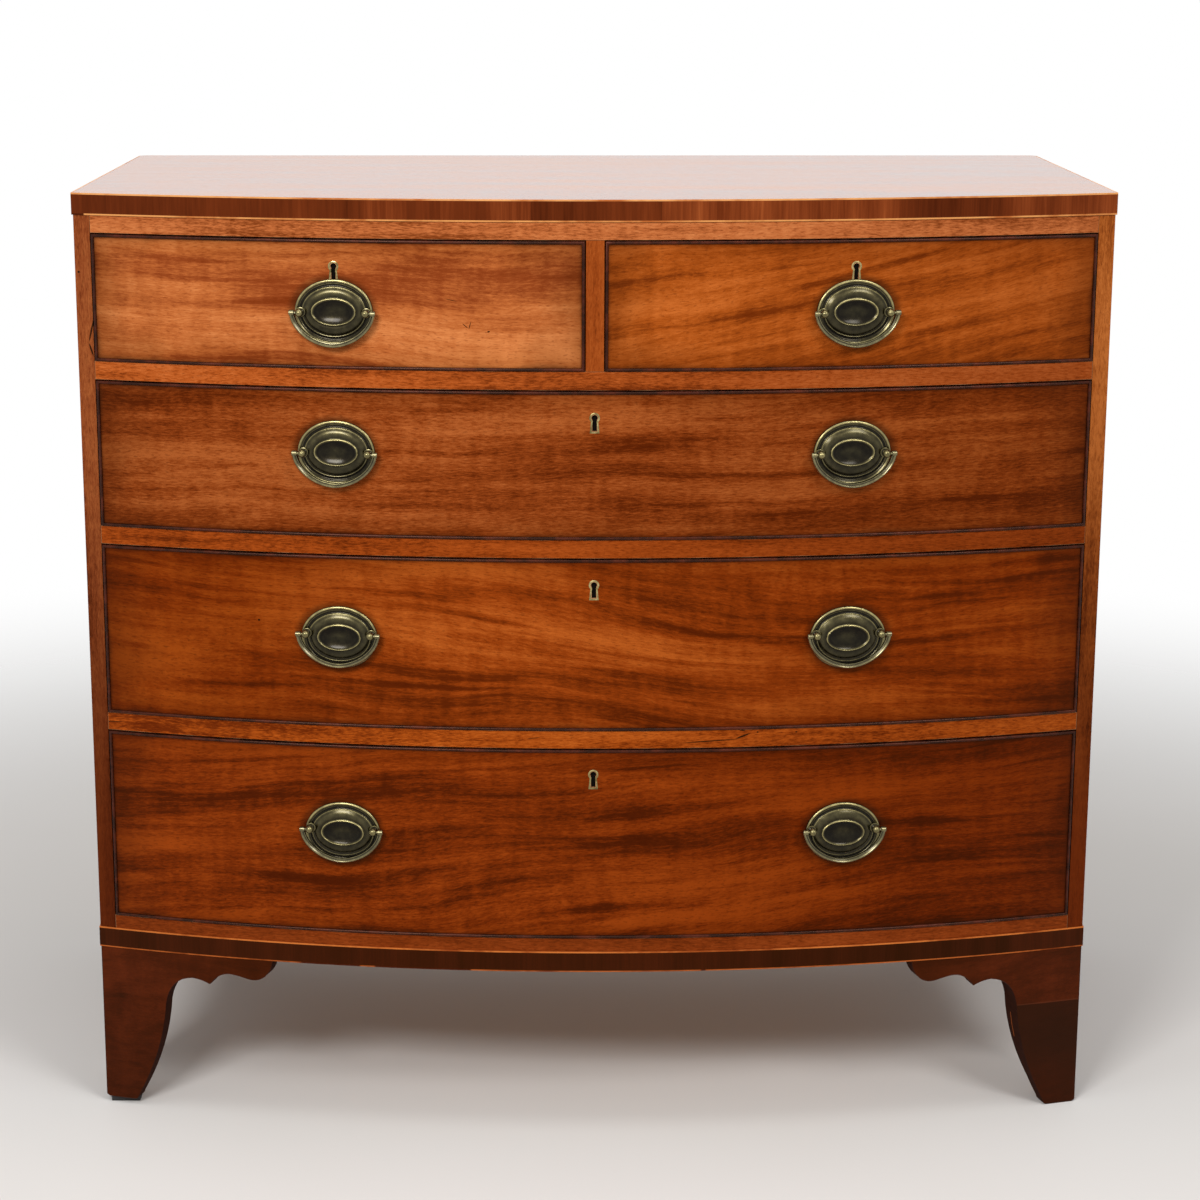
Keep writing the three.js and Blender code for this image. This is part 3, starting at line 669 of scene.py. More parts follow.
# Drawer stops stand on the drawer rails, so their boards end below the tops of the nodes. The
# bottom rail's facing ends where the lower drawer begins.
DRAWER_RAIL_HEIGHT = 18.5 * MM
BOTTOM_RAIL_SHOW = 14.5 * MM
facing_front = FACE_INSET - FACING_PROUD
facing_rear = FACE_INSET + FACING_THICKNESS
for number, (node, tones) in enumerate(RAIL_TONES.items()):
    low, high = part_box(node)
    marks = RAIL_MARKS.get(node, ())
    seed = 31.0 + 7 * number
    look = {"marks": marks, "painted_shade": {"right": RAIL_RIGHT_SHADE.get(node, 0.0)}, **RAIL_FIGURE}
    wood = polished_wood(f"{node}_mahogany", "XZY", tones, seed, **look)
    board_top = low.z + DRAWER_RAIL_HEIGHT if node.startswith("drawer") else high.z
    if node == "bottom_rail":
        board_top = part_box("base_band")[1].z + BOTTOM_RAIL_SHOW
    strip = bent_strip(low.x, high.x, facing_front, facing_rear, low.z, board_top)
    facing = ease(make_piece(f"{node}_facing", *strip, wood), FACING_EASE)
    settle(facing, "carcase", "mahogany_rail")
    dress(node, rail_core)

UPRIGHT_TONES = wood_tones(tint(104, 41, 10), tint(138, 61, 19), tint(158, 77, 29))
upright = polished_wood("partition_mahogany", "ZXY", UPRIGHT_TONES, 66.0, sway=0.008, bold=0.9)
dress("centre_partition", upright)


# Dust boards and bottom
# Thin pine panels between thick runners, one level under each row of drawers, and the bottom of
# the carcase. They keep dust off the linen and carry the drawers' sides.
dust_pine = bare_wood("dust_board_pine", "XYZ", PINE_TONES, 9.0)
for node in (*DUST_BOARDS, "bottom_board"):
    dress(node, dust_pine)


# Top slab
# A thick board, its grain running from side to side, edged all round the front and sides with
# crossbanding: short pieces of dark veneer with upright grain, between two light strings.
STRING_SIZE = 1.6 * MM
CORNER_RADIUS = 6 * MM
CORNER_STEPS = 6


def slab_outline(inset):
    """The board inside its edging: front arc, sides, and back corners rounded in plan."""
    half = HALF_WIDTH - inset
    outline = bow_line(-half, half, inset)
    for side in (1, -1):
        for step in range(CORNER_STEPS + 1):
            turn = (step if side > 0 else CORNER_STEPS - step) / CORNER_STEPS * math.pi / 2
            outline.append((
                side * (half - CORNER_RADIUS + CORNER_RADIUS * math.cos(turn)),
                slab_high.y - CORNER_RADIUS + CORNER_RADIUS * math.sin(turn),
            ))
    return outline


def prism(near, far):
    """A solid between two outlines with as many corners each."""
    count = len(near)
    faces = [tuple(range(count)), tuple(range(count, 2 * count))[::-1]]
    for corner in range(count):
        follow = (corner + 1) % count
        faces.append((corner, count + corner, count + follow, follow))
    return [*near, *far], faces


# The best polished board of the chest, its fine grain still showing in the gloss
TOP_TONES = wood_tones(tint(118, 52, 14), tint(160, 82, 26), tint(186, 108, 44))
top_finish = new_finish("top_mahogany")
top_tone, top_pores, _ = grain(top_finish, "XYZ", 51.0, slant=0.02, sway=0.05)
top_ground = top_finish.ramp(top_tone, TOP_TONES)
top_wood = top_finish.surface(
    Base_Color=top_finish.mix(top_pores * 0.3, top_ground, TOP_TONES[0][1]),
    Roughness=top_tone * 0.15 + 0.12,
    Normal=top_finish.relief(top_pores * -1.0 + top_tone, PORE_DEPTH / 2),
    Coat_Weight=0.5,
    Coat_Roughness=0.18,
    **THICK_SHELLAC,
)
slab_faces = [
    [(x, y, z) for x, y in slab_outline(STRING_SIZE)]
    for z in (slab_low.z, slab_high.z)
]
core = prism(*slab_faces)
slab = ease(make_piece("top_slab_board", *core, top_wood), 0)
settle(slab, "carcase", "mahogany_top", "top_slab")
FINE_DEPTH = 0.05 * MM


def cross_banding(name, tones, seed, block):
    """Short pieces of veneer side by side, each with a tone of its own and upright grain."""
    finish = new_finish(name)
    up, run, depth = board_place(finish, "ZXY")
    run = run + depth * 0.9
    line = finish.node("CombineXYZ", {}, {"X": run})
    number = finish.math("FLOOR", run / block + finish.noise(line, (7.0, 1.0, 1.0), seed) * 1.2)
    own = finish.node("TexWhiteNoise", {"noise_dimensions": "1D"}, {"W": number + seed})
    flat = finish.node("CombineXYZ", {}, {"X": up, "Y": run, "Z": number * 3.7})
    wide = finish.noise(flat, (5.0, 40.0, 1.0), seed, detail=2.0) - 0.5
    fine = finish.noise(flat, (16.0, 480.0, 1.0), seed + 6, detail=3.0, rough=0.65) - 0.5
    tone = own * 0.3 + wide * 0.7 + fine * 0.5 + 0.34
    return finish.surface(
        Base_Color=finish.ramp(tone, tones),
        Roughness=tone * 0.1 + 0.26,
        Normal=finish.relief(fine, FINE_DEPTH),
        **SHELLAC,
    )


BANDING_TONES = [
    (0.15, tint(62, 20, 7)),
    (0.5, tint(98, 40, 16)),
    (0.72, tint(126, 58, 26)),
    (0.92, tint(164, 86, 42)),
]
banding = cross_banding("top_crossbanding", BANDING_TONES, 3.0, 0.13)
STRING_FRAY = 4 * MM
GAP_EDGE = 2 * MM


def string_wood(name, light, dark, seed, gaps=()):
    """Boxwood string, pieced end to end, yellowed by polish. Each gap is a stretch of x where it
    has come away, and the wood under it shows."""
    finish, wear = speckled(name, (14.0, 14.0, 14.0), seed, detail=4.0, rough=0.7)
    colour = finish.mix(finish.fade(wear, 0.42, 0.66), light, dark)
    run = board_place(finish, "X")[0] + wear * STRING_FRAY
    for start, end in gaps:
        begun = finish.fade(run, start, start + GAP_EDGE)
        lost = begun * (1 - finish.fade(run, end - GAP_EDGE, end))
        colour = finish.mix(lost, colour, BANDING_TONES[0][1])
    return finish.surface(
        Base_Color=colour,
        Roughness=wear * 0.2 + 0.3,
        **SHELLAC,
    )


def u_path(half, inset, back_y):
    """Up one side, round the bow and down the other side, seen from above."""
    return [(-half, back_y), *bow_line(-half, half, inset), (half, back_y)]


def lay_edge(group, low_z, high_z, strings, inset, thickness, back_y, woods, *nodes):
    """Crossbanding between an upper and a lower string of those widths, laid round the front and
    sides. The woods go to the three in that order."""
    upper_edge = high_z - strings[0]
    lower_edge = low_z + strings[1]
    levels = {
        "banding": (lower_edge, upper_edge),
        "string_upper": (upper_edge, high_z),
        "string_lower": (low_z, lower_edge),
    }
    outer = u_path(HALF_WIDTH - inset, inset, back_y)
    inner = u_path(HALF_WIDTH - inset - thickness, inset + thickness, back_y)
    for (layer, (from_z, to_z)), wood in zip(levels.items(), woods):
        strip = make_piece(f"{group}_{layer}", *edging(outer, inner, from_z, to_z), wood)
        settle(ease(strip, 0), "carcase", "cross_banding", *(nodes if layer == "banding" else ()))


# The lower string has come away at the left front corner
TOP_GAPS = [(-530 * MM, -509 * MM)]
top_string = string_wood("top_boxwood", tint(222, 156, 94), tint(176, 98, 48), 8.0)
worn_string = string_wood("top_boxwood_lower", tint(214, 146, 84), tint(168, 92, 44), 9.0, TOP_GAPS)
lay_edge(
    "top", slab_low.z, slab_high.z, (STRING_SIZE, STRING_SIZE), 0, STRING_SIZE,
    slab_high.y - CORNER_RADIUS, (banding, top_string, worn_string),
)


# Base band
# A strip of dark crossbanding between two light strings, laid round the foot of the carcase
# over the joint with the feet, a millimetre proud of the boards.
band_low, band_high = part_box("base_band")
UPPER_STRING = 1.4 * MM
LOWER_STRING = 1.3 * MM
band_inset = HALF_WIDTH - band_high.x
BAND_TONES = [
    (0.15, tint(26, 7, 2)),
    (0.5, tint(44, 14, 5)),
    (0.75, tint(58, 20, 7)),
    (0.95, tint(84, 36, 15)),
]
BASE_GAPS = [(-304 * MM, -240 * MM), (-226 * MM, -124 * MM), (114 * MM, 121 * MM)]
BAND_THICKNESS = 1.1 * MM
base_woods = (
    cross_banding("base_crossbanding", BAND_TONES, 11.0, 0.16),
    string_wood("base_boxwood", tint(196, 110, 50), tint(140, 64, 24), 17.0),
    string_wood("base_boxwood_chipped", tint(166, 86, 38), tint(108, 46, 16), 21.0, BASE_GAPS),
)
lay_edge(
    "base", band_low.z, band_high.z, (UPPER_STRING, LOWER_STRING), band_inset, BAND_THICKNESS,
    band_high.y, base_woods, "base_band",
)


# Bracket feet
# Two scrolled brackets of mahogany meet in a mitre at each corner, with a block glued behind
# them that carries the weight. The rear feet have one scroll, and a plain plate across the back.
FOOT_WIDTH = 187 * MM
BRACKET_THICKNESS = 18 * MM
FOOT_BLOCK = 18 * MM
FOOT_BLOCK_LIFT = 4 * MM
REAR_PLATE_THICKNESS = 16 * MM
REAR_PLATE_WIDTH = 110 * MM
REAR_PLATE_TOE = 60 * MM
foot_height = band_low.z
TOE_SHARE = 0.19
SCROLL_SHARES = [
    ((0.35, 0.34), (0.373, 0.66)),
    ((0.4, 0.835), (0.535, 0.845)),
    ((0.588, 0.84), (0.635, 0.812)),
    ((0.684, 0.89), (0.749, 0.89)),
    ((0.786, 0.888), (0.853, 0.867)),
    ((0.92, 0.848), (0.963, 0.899)),
    ((0.995, 0.938), (1.0, 1.0)),
]
TOE_ROUND = 4 * MM
TOE_STEPS = 4
SAW_SLOPE = math.tan(math.asin((CARCASE_HALF - FOOT_WIDTH * TOE_SHARE) / BOW_RADIUS))
SCROLL_STEPS = 8
TOE_TURNS = [math.pi / 2 * step / TOE_STEPS for step in range(TOE_STEPS + 1)]


def scroll_line():
    """The lower edge of a bracket from its toe to its tip, in shares of its width and height."""
    wide, high = TOE_ROUND / FOOT_WIDTH, TOE_ROUND / foot_height
    line = []
    for turn in TOE_TURNS:
        line.append((TOE_SHARE - wide * (1 - math.sin(turn)), high * (1 - math.cos(turn))))
    for bend, end in SCROLL_SHARES:
        start = line[-1]
        for step in range(1, SCROLL_STEPS + 1):
            share = step / SCROLL_STEPS
            pulls = ((1 - share) ** 2, 2 * share * (1 - share), share ** 2)
            spots = list(zip(pulls, (start, bend, end)))
            line.append(tuple(sum(pull * spot[i] for pull, spot in spots) for i in (0, 1)))
    return line


def bracket(place, depths, lift=0.0, span=1.0):
    """A scrolled board. place gives a point at a reach from the corner, a height and a depth
    behind the outer face. The lift raises its toe off the floor, and the span is the share of
    the whole bracket's width that it covers. The looks pick its face from its sawn edges."""
    rows = []
    for turn in TOE_TURNS:
        rows.append((TOE_ROUND * (1 - math.cos(turn)), lift + TOE_ROUND * (1 - math.sin(turn))))
    for across, up in scroll_line():
        if across <= span:
            rows.append((across * FOOT_WIDTH, up * foot_height + lift * (1 - up)))
    points, faces, looks = [], [], []
    for reach, up in rows:
        points += [place(reach, height, depth) for height in (up, foot_height) for depth in depths]
    for row in range(len(rows) - 1):
        a, b = 4 * row, 4 * row + 4
        faces += [(a, b, b + 2, a + 2), (a + 1, a + 3, b + 3, b + 1)]
        faces += [(a, a + 1, b + 1, b), (a + 2, b + 2, b + 3, a + 3)]
        looks += [0, 1, 1, 1]
    last = 4 * (len(rows) - 1)
    faces += [(0, 2, 3, 1), (last, last + 1, last + 3, last + 2)]
    return points, faces, [*looks, 0, 1]


FOOT_TONES = wood_tones(tint(36, 10, 4), tint(58, 18, 6), tint(84, 31, 12))
# Where the painted shade on the front brackets starts and ends, from the middle
WING_SHADE_START = 340 * MM
WING_SHADE_END = 460 * MM
MEND_HEIGHT = 118 * MM
MEND_EDGE = 1.5 * MM
SEAM_HALF = 0.2 * MM
SEAM_EDGE = 0.8 * MM
MEND_BROWN = tint(25, 10, 7)
SEAM_BROWN = tint(96, 54, 38)


def foot_finish(name, axes, seed, mended=False):
    """Mahogany that takes kicks and mops: darker and duller towards the floor. On the front it is
    painted darker towards the tips of the scrolls, as painted shade. A mended one has a new lower
    half, stained too dark."""
    finish = new_finish(name)
    tone, dashes, (along, _, _) = grain(finish, axes, seed, sway=0.05, bold=0.8, fine=0.4)
    height = board_place(finish, "ZXY")[0]
    colour = finish.ramp(tone, FOOT_TONES)
    low = 1 - finish.fade(height, 0.02, 0.13)
    colour = finish.mix(low * 0.4, colour, FOOT_TONES[0][1])
    # Painted shade on the front bracket towards the tips of the scrolls
    if axes == "XZY":
        wing_shade = 1 - finish.fade(along.math("ABSOLUTE"), WING_SHADE_START, WING_SHADE_END)
        colour = finish.mix(wing_shade * 0.55, colour, FOOT_TONES[0][1])
    if mended:
        new = 1 - finish.fade(height, MEND_HEIGHT - MEND_EDGE, MEND_HEIGHT)
        toe = 1 - finish.fade(height, 0.02, 0.07)
        colour = finish.mix(new * (0.9 - toe * 0.5), colour, MEND_BROWN)
        seam = 1 - finish.fade((height - MEND_HEIGHT).math("ABSOLUTE"), SEAM_HALF, SEAM_EDGE)
        colour = finish.mix(seam * 0.3, colour, SEAM_BROWN)
    return finish.surface(
        Base_Color=colour,
        Roughness=low * 0.12 + 0.32,
        Normal=finish.relief(dashes * -1.0 + tone, FINE_DEPTH),
        **THICK_SHELLAC,
    )


SAW_DEPTH = 0.2 * MM


def sawn_wood(name, dark, light):
    """Edges left from the saw: rough, and black with handling and floor polish."""
    finish, strokes = speckled(name, (60.0, 60.0, 500.0), 8.0, detail=3.0)
    return finish.surface(
        Base_Color=finish.mix(strokes, dark, light),
        Roughness=0.85,
        Normal=finish.relief(strokes, SAW_DEPTH),
        Specular_IOR_Level=0.05,
    )


sawn = sawn_wood("sawn_mahogany", tint(24, 9, 5), tint(58, 26, 13))
FOOT_EASE = 0.5 * MM


def foot_piece(name, shape, material, slot, *nodes):
    points, faces, *looks = shape
    piece = make_piece(name, points, faces, material, sawn, looks=looks[0] if looks else None)
    ease(piece, FOOT_EASE)
    # Worn flat on the floor, where the eased edges would reach below it
    for vertex in piece.data.vertices:
        vertex.co.z = max(vertex.co.z, 0.0)
    return settle(piece, "carcase", slot, *nodes)


def split_mesh(place):
    """Bare wood that shows where the joint behind a bracket has sprung, up the scroll's edge."""
    near, far = BRACKET_THICKNESS - SPLIT_WIDTH / 2, BRACKET_THICKNESS + SPLIT_WIDTH / 2
    corners = [(-SPLIT_ROOT, near), (-SPLIT_ROOT, far), (SPLIT_PROUD, far), (SPLIT_PROUD, near)]
    rows = []
    for across, up in scroll_line()[:SCROLL_STEPS + TOE_STEPS]:
        reach, height = across * FOOT_WIDTH, up * foot_height
        if SPLIT_HEIGHTS[0] <= height <= SPLIT_HEIGHTS[1]:
            rows.append([place(reach + out, height, depth) for out, depth in corners])
    return bar(rows)


PACKING_HEIGHT = 6 * MM
BACKING_THICKNESS = 14 * MM
BACKING_LIFT = 9 * MM
BACKING_SPAN = 0.5
SPLIT_HEIGHTS = (70 * MM, 118 * MM)
SPLIT_WIDTH = 0.7 * MM
SPLIT_ROOT = 1 * MM
SPLIT_PROUD = 0.3 * MM
flank_wood = foot_finish("foot_flank_mahogany", "YZX", 74.0)
for side, hand in ((-1, "left"), (1, "right")):
    corner_x = side * CARCASE_HALF
    corner_y = bow_y(CARCASE_HALF, FACE_INSET)
    lift = PACKING_HEIGHT if hand == "left" else 0.0
    mended = hand == "right"
    board = (0.0, BRACKET_THICKNESS)

    def bowed(reach, height, depth):
        """On the bow. The scroll is sawn square to the face, so its cut leans inward."""
        x = corner_x - side * max(reach + SAW_SLOPE * depth, depth)
        return (x, bow_y(x, FACE_INSET + depth), height)

    def sided(reach, height, depth):
        return (corner_x - side * depth, corner_y + max(reach, depth), height)

    def rear_sided(reach, height, depth):
        return (corner_x - side * depth, band_high.y - reach, height)

    front_wood = foot_finish(f"foot_{hand}_mahogany", "XZY", 71.0 + side, mended)
    shape = bracket(bowed, board, lift)
    foot_piece(f"foot_{hand}_front_bracket", shape, front_wood, "foot_mahogany", f"foot_front_{hand}")
    shape = bracket(sided, board, lift)
    foot_piece(f"foot_{hand}_side_bracket", shape, flank_wood, "foot_mahogany")
    shape = bracket(rear_sided, board)
    foot_piece(f"foot_{hand}_rear_bracket", shape, flank_wood, "foot_mahogany", f"foot_rear_{hand}")
    if mended:
        behind = (BRACKET_THICKNESS, BRACKET_THICKNESS + BACKING_THICKNESS)
        shape = bracket(bowed, behind, BACKING_LIFT, BACKING_SPAN)
        foot_piece(f"foot_{hand}_backing", shape, sawn, "foot_mahogany")
        bare = sawn_wood("bare_split", tint(120, 58, 26), tint(168, 92, 46))
        split = make_piece(f"foot_{hand}_split", *split_mesh(bowed), bare)
        settle(ease(split, 0), "carcase", "foot_mahogany")
    inner_x = corner_x - side * BRACKET_THICKNESS
    block_x = sorted((inner_x, inner_x - side * FOOT_BLOCK))
    block_y = corner_y + BRACKET_THICKNESS
    shape = block_mesh(
        (block_x[0], block_y, FOOT_BLOCK_LIFT + lift),
        (block_x[1], block_y + FOOT_BLOCK, foot_height),
    )
    foot_piece(f"foot_{hand}_block", shape, dust_pine, "pine")
    plate_line = [
        (inner_x, 0.0),
        (corner_x - side * REAR_PLATE_TOE, 0.0),
        (corner_x - side * REAR_PLATE_WIDTH, foot_height),
        (inner_x, foot_height),
    ]
    plate_depths = (band_high.y - REAR_PLATE_THICKNESS, band_high.y)
    shape = prism(*[[(x, y, z) for x, z in plate_line] for y in plate_depths])
    foot_piece(f"foot_{hand}_rear_plate", shape, dust_pine, "pine")


# Packing under the left front foot
# A slip of black rubber that levels the chest on an uneven floor.
PACKING_LENGTH = 31 * MM
PACKING_DEPTH = 16 * MM
PACKING_FROM_SIDE = 5 * MM
PACKING_FROM_FACE = 1 * MM
PACKING_EASE = 0.8 * MM
RUBBER_DEPTH = 0.1 * MM
rubber_finish, rubber_speck = speckled("black_rubber", (400.0, 400.0, 400.0), 1.0, detail=3.0)
rubber = rubber_finish.surface(
    Base_Color=rubber_finish.mix(rubber_speck, tint(14, 13, 13), tint(38, 34, 32)),
    Roughness=0.75,
    Normal=rubber_finish.relief(rubber_speck, RUBBER_DEPTH),
)
packing_x = -CARCASE_HALF + PACKING_FROM_SIDE
packing_y = bow_y(packing_x, FACE_INSET) + PACKING_FROM_FACE
packing_mesh = block_mesh(
    (packing_x, packing_y, 0.0),
    (packing_x + PACKING_LENGTH, packing_y + PACKING_DEPTH, PACKING_HEIGHT),
)
packing = ease(make_piece("foot_left_packing", *packing_mesh, rubber), PACKING_EASE, 2)
settle(packing, "carcase", "foot_mahogany")


# Drawer fronts
# Thick boards bent to the bow and faced with one sheet of figured mahogany veneer, matched in
# colour from drawer to drawer. Dirt and painted shade darken the veneer against the beads.
BEAD_WIDTH = 3 * MM
VENEER_GAP = 0.1 * MM
VENEER_THICKNESS = 1.2 * MM
KEYHOLE_DROP = 23.5 * MM
HANDLE_INSET = 248 * MM
handle_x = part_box("side_right")[0].x - HANDLE_INSET

ESCUTCHEON_OUTER = {"radius": 5.3 * MM, "neck": 3.6 * MM, "foot": 4.9 * MM, "length": 15.5 * MM}
ESCUTCHEON_INNER = {"radius": 3.7 * MM, "neck": 2.0 * MM, "foot": 3.2 * MM, "length": 14.0 * MM}
KEYHOLE_STEPS = 20


def keyhole_line(radius, neck, foot, length):
    """A round hole with a slot that widens a little downwards, from its lower left corner."""
    meet = math.asin(neck / radius)
    line = [(-foot, -length)]
    for step in range(KEYHOLE_STEPS + 1):
        turn = -math.pi / 2 - meet - (2 * math.pi - 2 * meet) * step / KEYHOLE_STEPS
        line.append((radius * math.cos(turn), radius * math.sin(turn)))
    return [*line, (foot, -length)]


def key_prism(look, outline, depths):
    """A solid of that outline in a drawer's front, where its keyhole is."""
    return prism(*[[look["key_place"] @ Vector((x, y, z)) for x, z in outline] for y in depths])


def front_finish(name, tones, seed, low, high, shades, ovals, marks=(), **figure):
    """Veneer darkened by dirt and painted shade against the beads, and by dirt that polishing cloths
    never reach round the handles' ovals. Painted shade darkens it towards both ends, more so on the
    right."""
    finish = new_finish(name)
    tone, dashes, (along, across, _) = grain(finish, "XZY", seed, depth=0.0, **figure)
    spot = finish.node("CombineXYZ", {}, {"X": along, "Y": across})
    colour = finish.ramp(tone, tones)
    colour = finish.mix(dashes * 0.42, colour, tones[0][1])
    # Painted shade towards both ends, more on the right
    shaded = finish.fade(along, low.x, high.x) * shades[1]
    shaded = (1 - finish.fade(along, low.x, low.x + LEFT_SHADE_REACH)) * shades[0] + shaded
    colour = deepen(finish, colour, shaded, SHADE_DEEPENING)
    nearest = along - low.x
    for distance in (high.x - along, across - low.z, high.z - across):
        nearest = nearest.math("SMOOTH_MIN", distance, GRIME_AND_SHADE_CORNER)
    nearest_end = (along - low.x).math("MINIMUM", high.x - along)
    ragged = finish.noise(spot, (22.0, 22.0, 1.0), seed + 40, detail=3.0)
    # Dirt and painted shade against the beads, in a narrow band and a wide one, and painted shade at
    # both ends
    grime_and_shade = 1 - finish.fade(nearest / (ragged * GRIME_AND_SHADE_REACH), 0.0, 1.0)
    edge_dirt_and_shade = 1 - finish.fade(nearest / (ragged * EDGE_DIRT_AND_SHADE_REACH), 0.0, 1.0)
    ends = 1 - finish.fade(nearest_end / (ragged * END_SHADE_REACH), 0.0, 1.0)
    colour = deepen(finish, colour, edge_dirt_and_shade * 0.55, SHADE_DEEPENING)
    rim = 0.0
    for x, z in ovals:
        side = (along - x) / OVAL_HALF[0]
        up = (across - z) / OVAL_HALF[1]
        rim = (1 - finish.fade(side * side + up * up, 0.95, 1.45)) * 0.6 + rim
    # The bands by the beads and the ends are mixed to dark brown as dirt and painted shade; the rings
    # round the ovals are dirt
    colour = finish.mix(grime_and_shade * grime_and_shade * 0.75 + ends * 0.25 + rim, colour, GRIME_AND_SHADE_BROWN)
    colour = scarred(finish, colour, marks)
    waves = finish.noise(spot, (8.0, 8.0, 1.0), seed + 55, detail=1.0)
    return finish.surface(
        Base_Color=colour,
        Roughness=tone * 0.1 + grime_and_shade * 0.15 + 0.22,
        Normal=finish.relief(dashes * -0.03 + tone * 0.03 + waves, WAVE_DEPTH),
        **SHELLAC,
    )


def cut_through(piece, cutter):
    """Takes the cutter's shape out of the piece."""
    modifier = piece.modifiers.new("keyhole", "BOOLEAN")
    modifier.operation = "DIFFERENCE"
    modifier.solver = "EXACT"
    modifier.object = cutter
    keep_modified(piece, modifier)
    bpy.data.objects.remove(cutter)


# The colour, corner and reaches of the dirt and painted shade on the fronts, and the tint of their
# painted shade
GRIME_AND_SHADE_BROWN = tint(36, 14, 6)
GRIME_AND_SHADE_CORNER = 6 * MM
GRIME_AND_SHADE_REACH = 20 * MM
EDGE_DIRT_AND_SHADE_REACH = 70 * MM
END_SHADE_REACH = 160 * MM
LEFT_SHADE_REACH = 450 * MM
SHADE_DEEPENING = (0.5, 0.38, 0.2)
WAVE_DEPTH = 0.8 * MM
# Each drawer's tones darken from the top row down: partly the veneer's own colour, partly painted
# shade for light that falls from above
DRAWERS = {
    "short_left": {
        "tones": wood_tones(tint(138, 63, 27), tint(180, 98, 48), tint(212, 130, 74)),
        "seed": 81.0, "slant": 0.01, "sway": 0.06, "bold": 1.25, "fine": 0.65,
        "shades": (0.0, 0.12),
        "marks": [
            (-128 * MM, 852.5 * MM, 4 * MM, 0.5 * MM, -40),
            (-123.5 * MM, 853 * MM, 4.5 * MM, 0.5 * MM, 75),
            (-105 * MM, 847 * MM, 1.6 * MM, 0.9 * MM, 10),
            (-142 * MM, 878 * MM, 7 * MM, 0.35 * MM, -12),
        ],
    },
    "short_right": {
        "tones": wood_tones(tint(112, 45, 8), tint(158, 74, 20), tint(190, 100, 40)),
        "seed": 93.0, "slant": -0.17, "sway": 0.06, "bold": 1.15, "fine": 0.65,
        "shades": (0.0, 0.4),
    },
    "upper": {
        "tones": wood_tones(tint(96, 34, 6), tint(142, 64, 22), tint(180, 98, 48)),
        "seed": 105.0, "slant": -0.02, "sway": 0.05, "bold": 1.15, "fine": 1.0,
        "shades": (0.45, 0.85),
    },
    "middle": {
        "tones": wood_tones(tint(98, 34, 4), tint(152, 64, 14), tint(196, 101, 38)),
        "seed": 117.0, "slant": 0.06, "sway": 0.09, "bold": 1.2, "fine": 0.6,
        "shades": (1.3, 1.0),
        "marks": [(-341.7 * MM, 547 * MM, 1.5 * MM, 1.3 * MM, 0)],
    },
    "lower": {
        "tones": wood_tones(tint(78, 23, 3), tint(124, 46, 7), tint(162, 71, 18)),
        "seed": 129.0, "slant": -0.07, "sway": 0.07, "bold": 1.3, "fine": 0.8,
        "shades": (0.5, 1.0),
    },
}
OVAL_HALF = (40 * MM, 33 * MM)
# How far each row's ovals sit below their posts. The rows were drilled one by one.
OVAL_DROPS = {"short": -0.5 * MM, "upper": -0.5 * MM, "middle": 4 * MM, "lower": 4 * MM}
# The cutter goes this far through the veneer, and is this share of the lining's width
CUT_DEPTH = 5 * MM
CUT_SHARE = 0.97
HINGES = [joint for joint in frame["joints"] if joint["type"] == "hinge"]
front_core = bare_wood("front_core", "XZY", PINE_TONES, 19.0)
for name, look in DRAWERS.items():
    low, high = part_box(f"{name}_bead")
    key_x = math.copysign(handle_x, low.x + high.x) if name.startswith("short") else 0.0
    key_z = high.z - KEYHOLE_DROP - BEAD_WIDTH
    body = f"drawer_{name}"
    pivots = [joint["pos_m"] for joint in HINGES if joint["parent"] == body]
    ovals = [(x, z - OVAL_DROPS[name.split("_")[0]]) for x, _, z in pivots]
    veneer_wood = front_finish(f"{name}_veneer", low=low, high=high, ovals=ovals, **look)
    # The beads, locks and linings below need the same box, keyhole and body
    look.update(low=low, high=high, key_place=on_front(key_x, FACE_INSET, key_z), body=body)
    reach = BEAD_WIDTH + VENEER_GAP
    sheet = bent_strip(
        low.x + reach, high.x - reach, FACE_INSET - FACING_PROUD, FACE_INSET + VENEER_THICKNESS,
        low.z + reach, high.z - reach,
    )
    veneer = make_piece(f"{name}_veneer", *sheet, veneer_wood)
    hole = [(x * CUT_SHARE, z) for x, z in keyhole_line(**ESCUTCHEON_OUTER)]
    cutter = make_piece("keyhole_cutter", *key_prism(look, hole, (-CUT_DEPTH, CUT_DEPTH)))
    ease(cutter, 0)
    cut_through(veneer, cutter)
    ease(veneer, 0)
    settle(veneer, look["body"], "mahogany_front")
    dress(f"{name}_front", front_core)


# Cock beads
# A slim strip of dark stained mahogany let in round the edge of each drawer's front, its nose
# rounded and proud of the veneer, mitred at the corners.
BEAD_DEPTH = 8 * MM
BEAD_PROUD = 2.2 * MM
BEAD_SHOULDER_SHARE = 0.35
NOSE_STEPS = 8


def bead_section():
    """Across the bead's width, and how far in from the arc, from its outer edge to its inner."""
    section = [(0.0, FACE_INSET + BEAD_DEPTH)]
    for step in range(NOSE_STEPS + 1):
        turn = math.pi * step / NOSE_STEPS
        across = BEAD_WIDTH * (1 - math.cos(turn)) / 2
        out = BEAD_SHOULDER_SHARE + (1 - BEAD_SHOULDER_SHARE) * math.sin(turn)
        section.append((across, FACE_INSET - BEAD_PROUD * out))
    return [*section, (BEAD_WIDTH, FACE_INSET + BEAD_DEPTH)]


